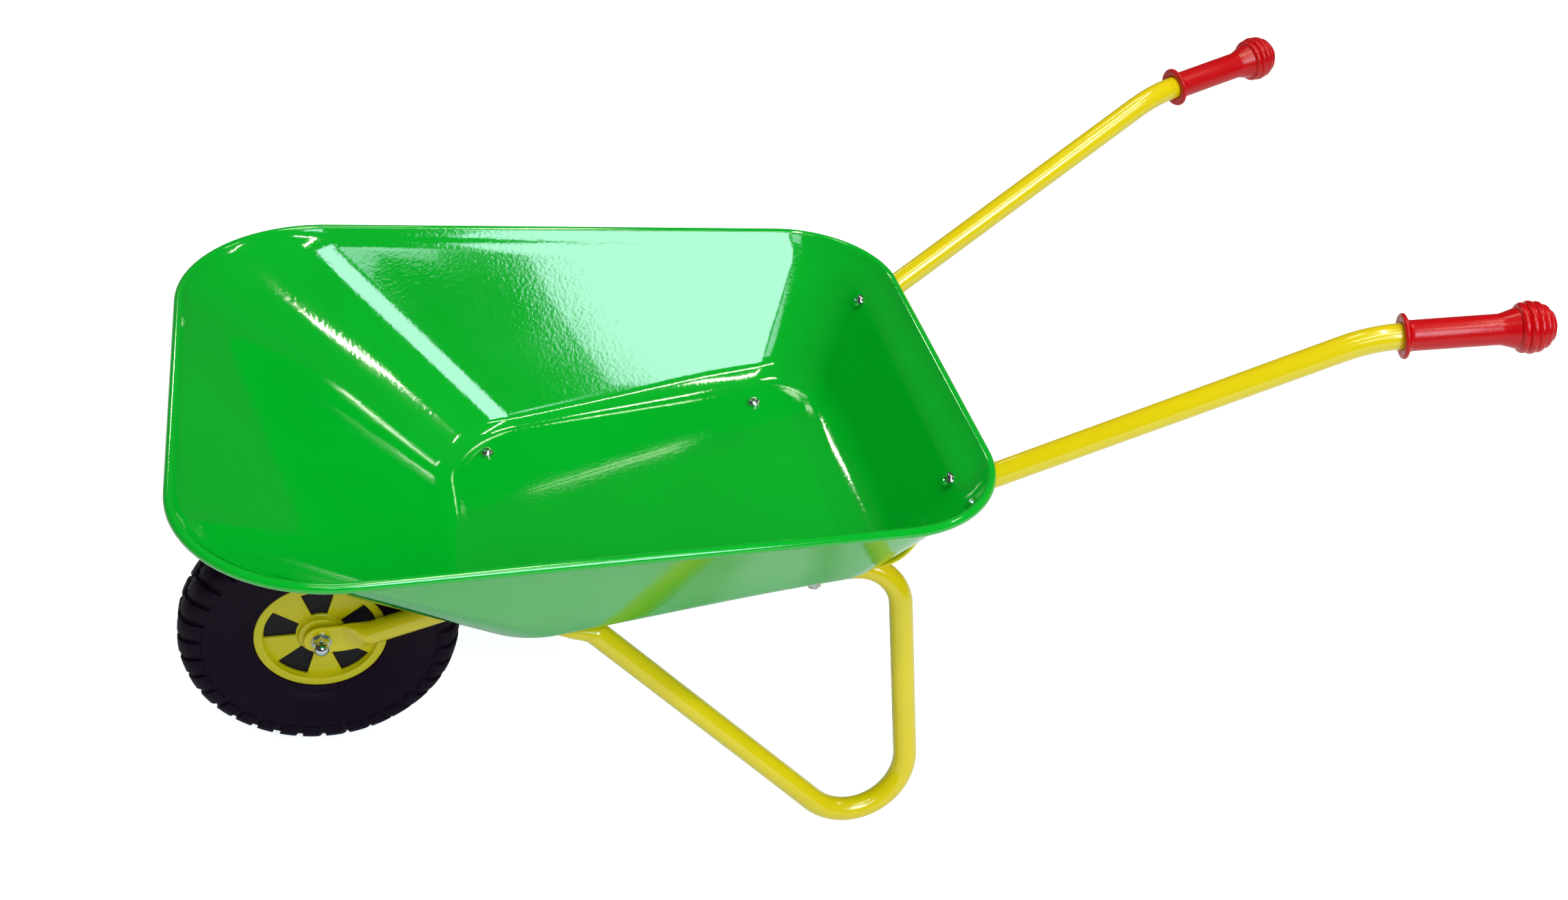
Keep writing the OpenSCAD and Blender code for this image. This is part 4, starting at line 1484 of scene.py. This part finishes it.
@dataclass
class Studio:
    """The pale floor, the lights and the camera."""

    eye: tuple[float, float, float]
    right: tuple[float, float, float] = (0.97045954, -0.22870617, 0.07682292)
    down: tuple[float, float, float] = (-0.07319741, -0.58251443, -0.80951781)
    ahead: tuple[float, float, float] = (0.22989218, 0.77998104, -0.58204738)
    lens: float = 42.2571
    target: tuple[float, float, float] = (-0.1, 0.0, 0.2)
    daylight: Color = (0.68, 0.86, 1.0)
    tube_light: Color = (1.0, 0.98, 0.82)

    def camera(self) -> None:
        """Sets the camera."""
        data = bpy.data.cameras.new("camera")
        data.lens = self.lens
        data.sensor_width = 36.0
        data.clip_start = 0.01
        camera = bpy.data.objects.new("camera", data)
        axes = (Vector(self.right), -Vector(self.down), -Vector(self.ahead))
        turn = Matrix([[axes[c][r] for c in range(3)] for r in range(3)]).to_4x4()
        camera.matrix_world = Matrix.Translation(self.eye) @ turn
        bpy.context.scene.collection.objects.link(camera)
        bpy.context.scene.camera = camera

    def lamp(self, name: str, at: tuple[float, float, float], size: tuple[float, float], power: float,
             color: Color) -> None:
        """Hangs a soft box that faces the barrow.

        Args:
            name: Its name.
            at: Where it hangs.
            size: Its width and height in metres.
            power: Its power in watts.
            color: Its light's colour.
        """
        data = bpy.data.lights.new(name, "AREA")
        data.shape = "RECTANGLE"
        data.size, data.size_y = size
        data.energy = power
        data.color = color
        lamp = bpy.data.objects.new(name, data)
        lamp.location = at
        lamp.rotation_euler = (Vector(self.target) - Vector(at)).to_track_quat("-Z", "Y").to_euler()
        bpy.context.scene.collection.objects.link(lamp)

    @staticmethod
    def _by_ray(tree: bpy.types.NodeTree, ray: str, change: float, rest: float,
                target: bpy.types.NodeSocket) -> None:
        """Gives a socket one value for one kind of ray and another for the rest.

        Args:
            tree: The node tree.
            ray: The Light Path output that tells the kind of ray.
            change: What that kind of ray adds.
            rest: The value for all other rays.
            target: The socket.
        """
        path = tree.nodes.new("ShaderNodeLightPath")
        level = tree.nodes.new("ShaderNodeMath")
        level.operation = "MULTIPLY_ADD"
        level.inputs[1].default_value = change
        level.inputs[2].default_value = rest
        tree.links.new(path.outputs[ray], level.inputs[0])
        tree.links.new(level.outputs[0], target)

    def floor(self) -> None:
        """Lays the pale floor, which looks brighter to the camera than it lights the barrow."""
        bm = bmesh.new()
        bmesh.ops.create_grid(bm, x_segments=1, y_segments=1, size=9.0)
        mesh = bpy.data.meshes.new("studio_floor")
        bm.to_mesh(mesh)
        bm.free()
        floor = bpy.data.objects.new("studio_floor", mesh)
        floor.location = (0, 0, -0.0005)
        bpy.context.scene.collection.objects.link(floor)
        pale = bpy.data.materials.new("pale_floor")
        pale.use_nodes = True
        shader = pale.node_tree.nodes["Principled BSDF"]
        for socket, value in (("Base Color", (0.9, 0.9, 0.9, 1)), ("Roughness", 0.8),
                              ("Specular IOR Level", 0.1), ("Emission Color", (1, 1, 1, 1))):
            shader.inputs[socket].default_value = value
        self._by_ray(pale.node_tree, "Is Camera Ray", 0.72, 0.02, shader.inputs["Emission Strength"])
        mesh.materials.append(pale)

    def world(self) -> None:
        """Fills the room with an even, dim light, dimmer still in the gloss."""
        world = bpy.data.worlds.new("room")
        bpy.context.scene.world = world
        world.use_nodes = True
        sky = world.node_tree.nodes["Background"]
        sky.inputs["Color"].default_value = (0.86, 0.93, 1.0, 1)
        self._by_ray(world.node_tree, "Is Glossy Ray", -0.15, 0.22, sky.inputs["Strength"])

    def build(self) -> None:
        """Builds the studio round the barrow."""
        self.camera()
        self.floor()
        self.world()
        day, tube = self.daylight, self.tube_light
        for name, at, size, power, color in (
                ("window", (0.42, -2.3, 2.05), (0.95, 1.35), 46, day),
                ("window_side", (-0.46, -2.3, 1.98), (0.5, 0.45), 4, day),
                ("ceiling_tube", (0.1, -0.05, 2.5), (1.3, 0.1), 12, tube),
                ("ceiling_tube", (-0.1, -0.95, 2.35), (1.3, 0.1), 12, tube),
                ("far_tube", (1.64, 0.15, 2.1), (0.55, 0.05), 6, tube),
                ("side_tube", (-0.22, 0.95, 2.5), (0.32, 0.2), 4, tube),
                ("back_tube", (-0.82, 1.95, 1.5), (0.35, 0.1), 3.5, tube)):
            self.lamp(name, at, size, power, color)
        bpy.context.scene.view_settings.view_transform = "Standard"


# ---------------------------------------------------------------- the barrow


def peel(broad: float, fine: float, share: float) -> tuple[tuple[str, float], ...]:
    """Gives the ripple's settings."""
    return ("Broad Scale", broad), ("Fine Scale", fine), ("Fine Share", share)


def grain(scale: float, softness: float) -> tuple[tuple[str, float], ...]:
    """Gives the grain's settings."""
    return ("Scale", scale), ("Softness", softness)


@dataclass
class Wheelbarrow:
    """The whole barrow: its finishes and its sub-assemblies in order."""

    sizes: Sizes = field(default_factory=Sizes)

    def finishes(self) -> dict[str, Finish]:
        """Lists the finishes.

        Returns:
            Every finish on the barrow by its slot.
        """
        axle = frame["joints"][0]["pos_m"]
        found = [
            Finish("gloss_green_enamel", "tray_paint", (0.0, 0.47, 0.022), (0.0, 0.42, 0.018), 0.05, 0.1,
                   Effect.RIPPLE, peel(11.0, 420.0, 0.12), 0.0005, coat=0.45),
            Finish("gloss_yellow_enamel", "tube_paint", (0.88, 0.66, 0.0), (0.84, 0.61, 0.0), 0.14, 0.22,
                   Effect.RIPPLE, peel(30.0, 900.0, 0.1), 0.00003, coat=0.5),
            Finish("moulded_red_plastic", "grip_plastic", (0.62, 0.0, 0.003), (0.56, 0.0, 0.002), 0.24, 0.38,
                   Effect.GRAIN, grain(1500.0, 0.6), 0.00005, coat=0.08, specular=0.35),
            Finish("tyre_rubber_black", "tyre_rubber", (0.010, 0.0006, 0.011), (0.007, 0.0004, 0.008), 0.5,
                   0.68, Effect.GRAIN, grain(700.0, 0.8), 0.00012, specular=0.12,
                   rings_at=(axle[0], 0.0, axle[2])),
            Finish("core_plastic_black", "core_plastic", (0.008, 0.003, 0.009), (0.005, 0.002, 0.006), 0.5,
                   0.7, Effect.GRAIN, grain(900.0, 0.6), 0.0001, specular=0.3),
            Finish("moulded_yellow_plastic", "cap_plastic", (0.74, 0.6, 0.0), (0.7, 0.55, 0.0), 0.25, 0.4,
                   Effect.GRAIN, grain(1300.0, 0.6), 0.00006, coat=0.1),
            Finish("natural_nylon", "bush_plastic", (0.72, 0.72, 0.68), (0.66, 0.66, 0.6), 0.4, 0.55,
                   Effect.GRAIN, grain(1200.0, 0.5), 0.00004),
            Finish("bright_chrome_plate", "bright_chrome", (0.78, 0.78, 0.8), (0.66, 0.66, 0.69), 0.08, 0.2,
                   Effect.RIPPLE, peel(160.0, 1800.0, 0.3), 0.00002, metallic=1.0, haze_scale=220.0,
                   mottle_scale=150.0),
            Finish("zinc_plate", "zinc_steel", (0.6, 0.61, 0.63), (0.5, 0.51, 0.54), 0.24, 0.42,
                   Effect.RIPPLE, peel(260.0, 2600.0, 0.5), 0.00003, metallic=1.0, haze_scale=300.0,
                   mottle_scale=240.0),
        ]
        return {finish.slot: finish for finish in found}

    def build(self) -> None:
        """Builds every sub-assembly in order."""
        finishes = self.finishes()
        zinc = finishes["zinc_steel"]
        bench = Bench(frame["joints"][0]["pos_m"][0])
        tubes = TubeWork(self.sizes, finishes["tube_paint"])
        for work in (Tray(self.sizes, finishes["tray_paint"]), tubes, Grips(tubes, finishes["grip_plastic"]),
                     Wheel(self.sizes, finishes["tyre_rubber"], finishes["cap_plastic"]),
                     Fasteners(self.sizes, tubes, finishes["bright_chrome"], zinc)):
            work.build(bench)
        washers = tuple(f"{a}_{b}_washer" for a in ("left", "right") for b in ("inner", "outer"))
        bench.dress(("wheel_core",), finishes["core_plastic"])
        bench.dress(("hub_bushes",), finishes["bush_plastic"])
        bench.dress(("axle", *washers, "front_floor_washers", "rear_floor_washers", "wall_washers"), zinc)


def main() -> None:
    """Builds the barrow and its studio."""
    logging.basicConfig(level=logging.INFO, format="%(name)s: %(message)s")
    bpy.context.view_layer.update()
    Wheelbarrow().build()
    Studio(eye=(frame["joints"][0]["pos_m"][0] + 0.02514473, -0.92028, 0.884097)).build()


if __name__ == "__main__":
    main()
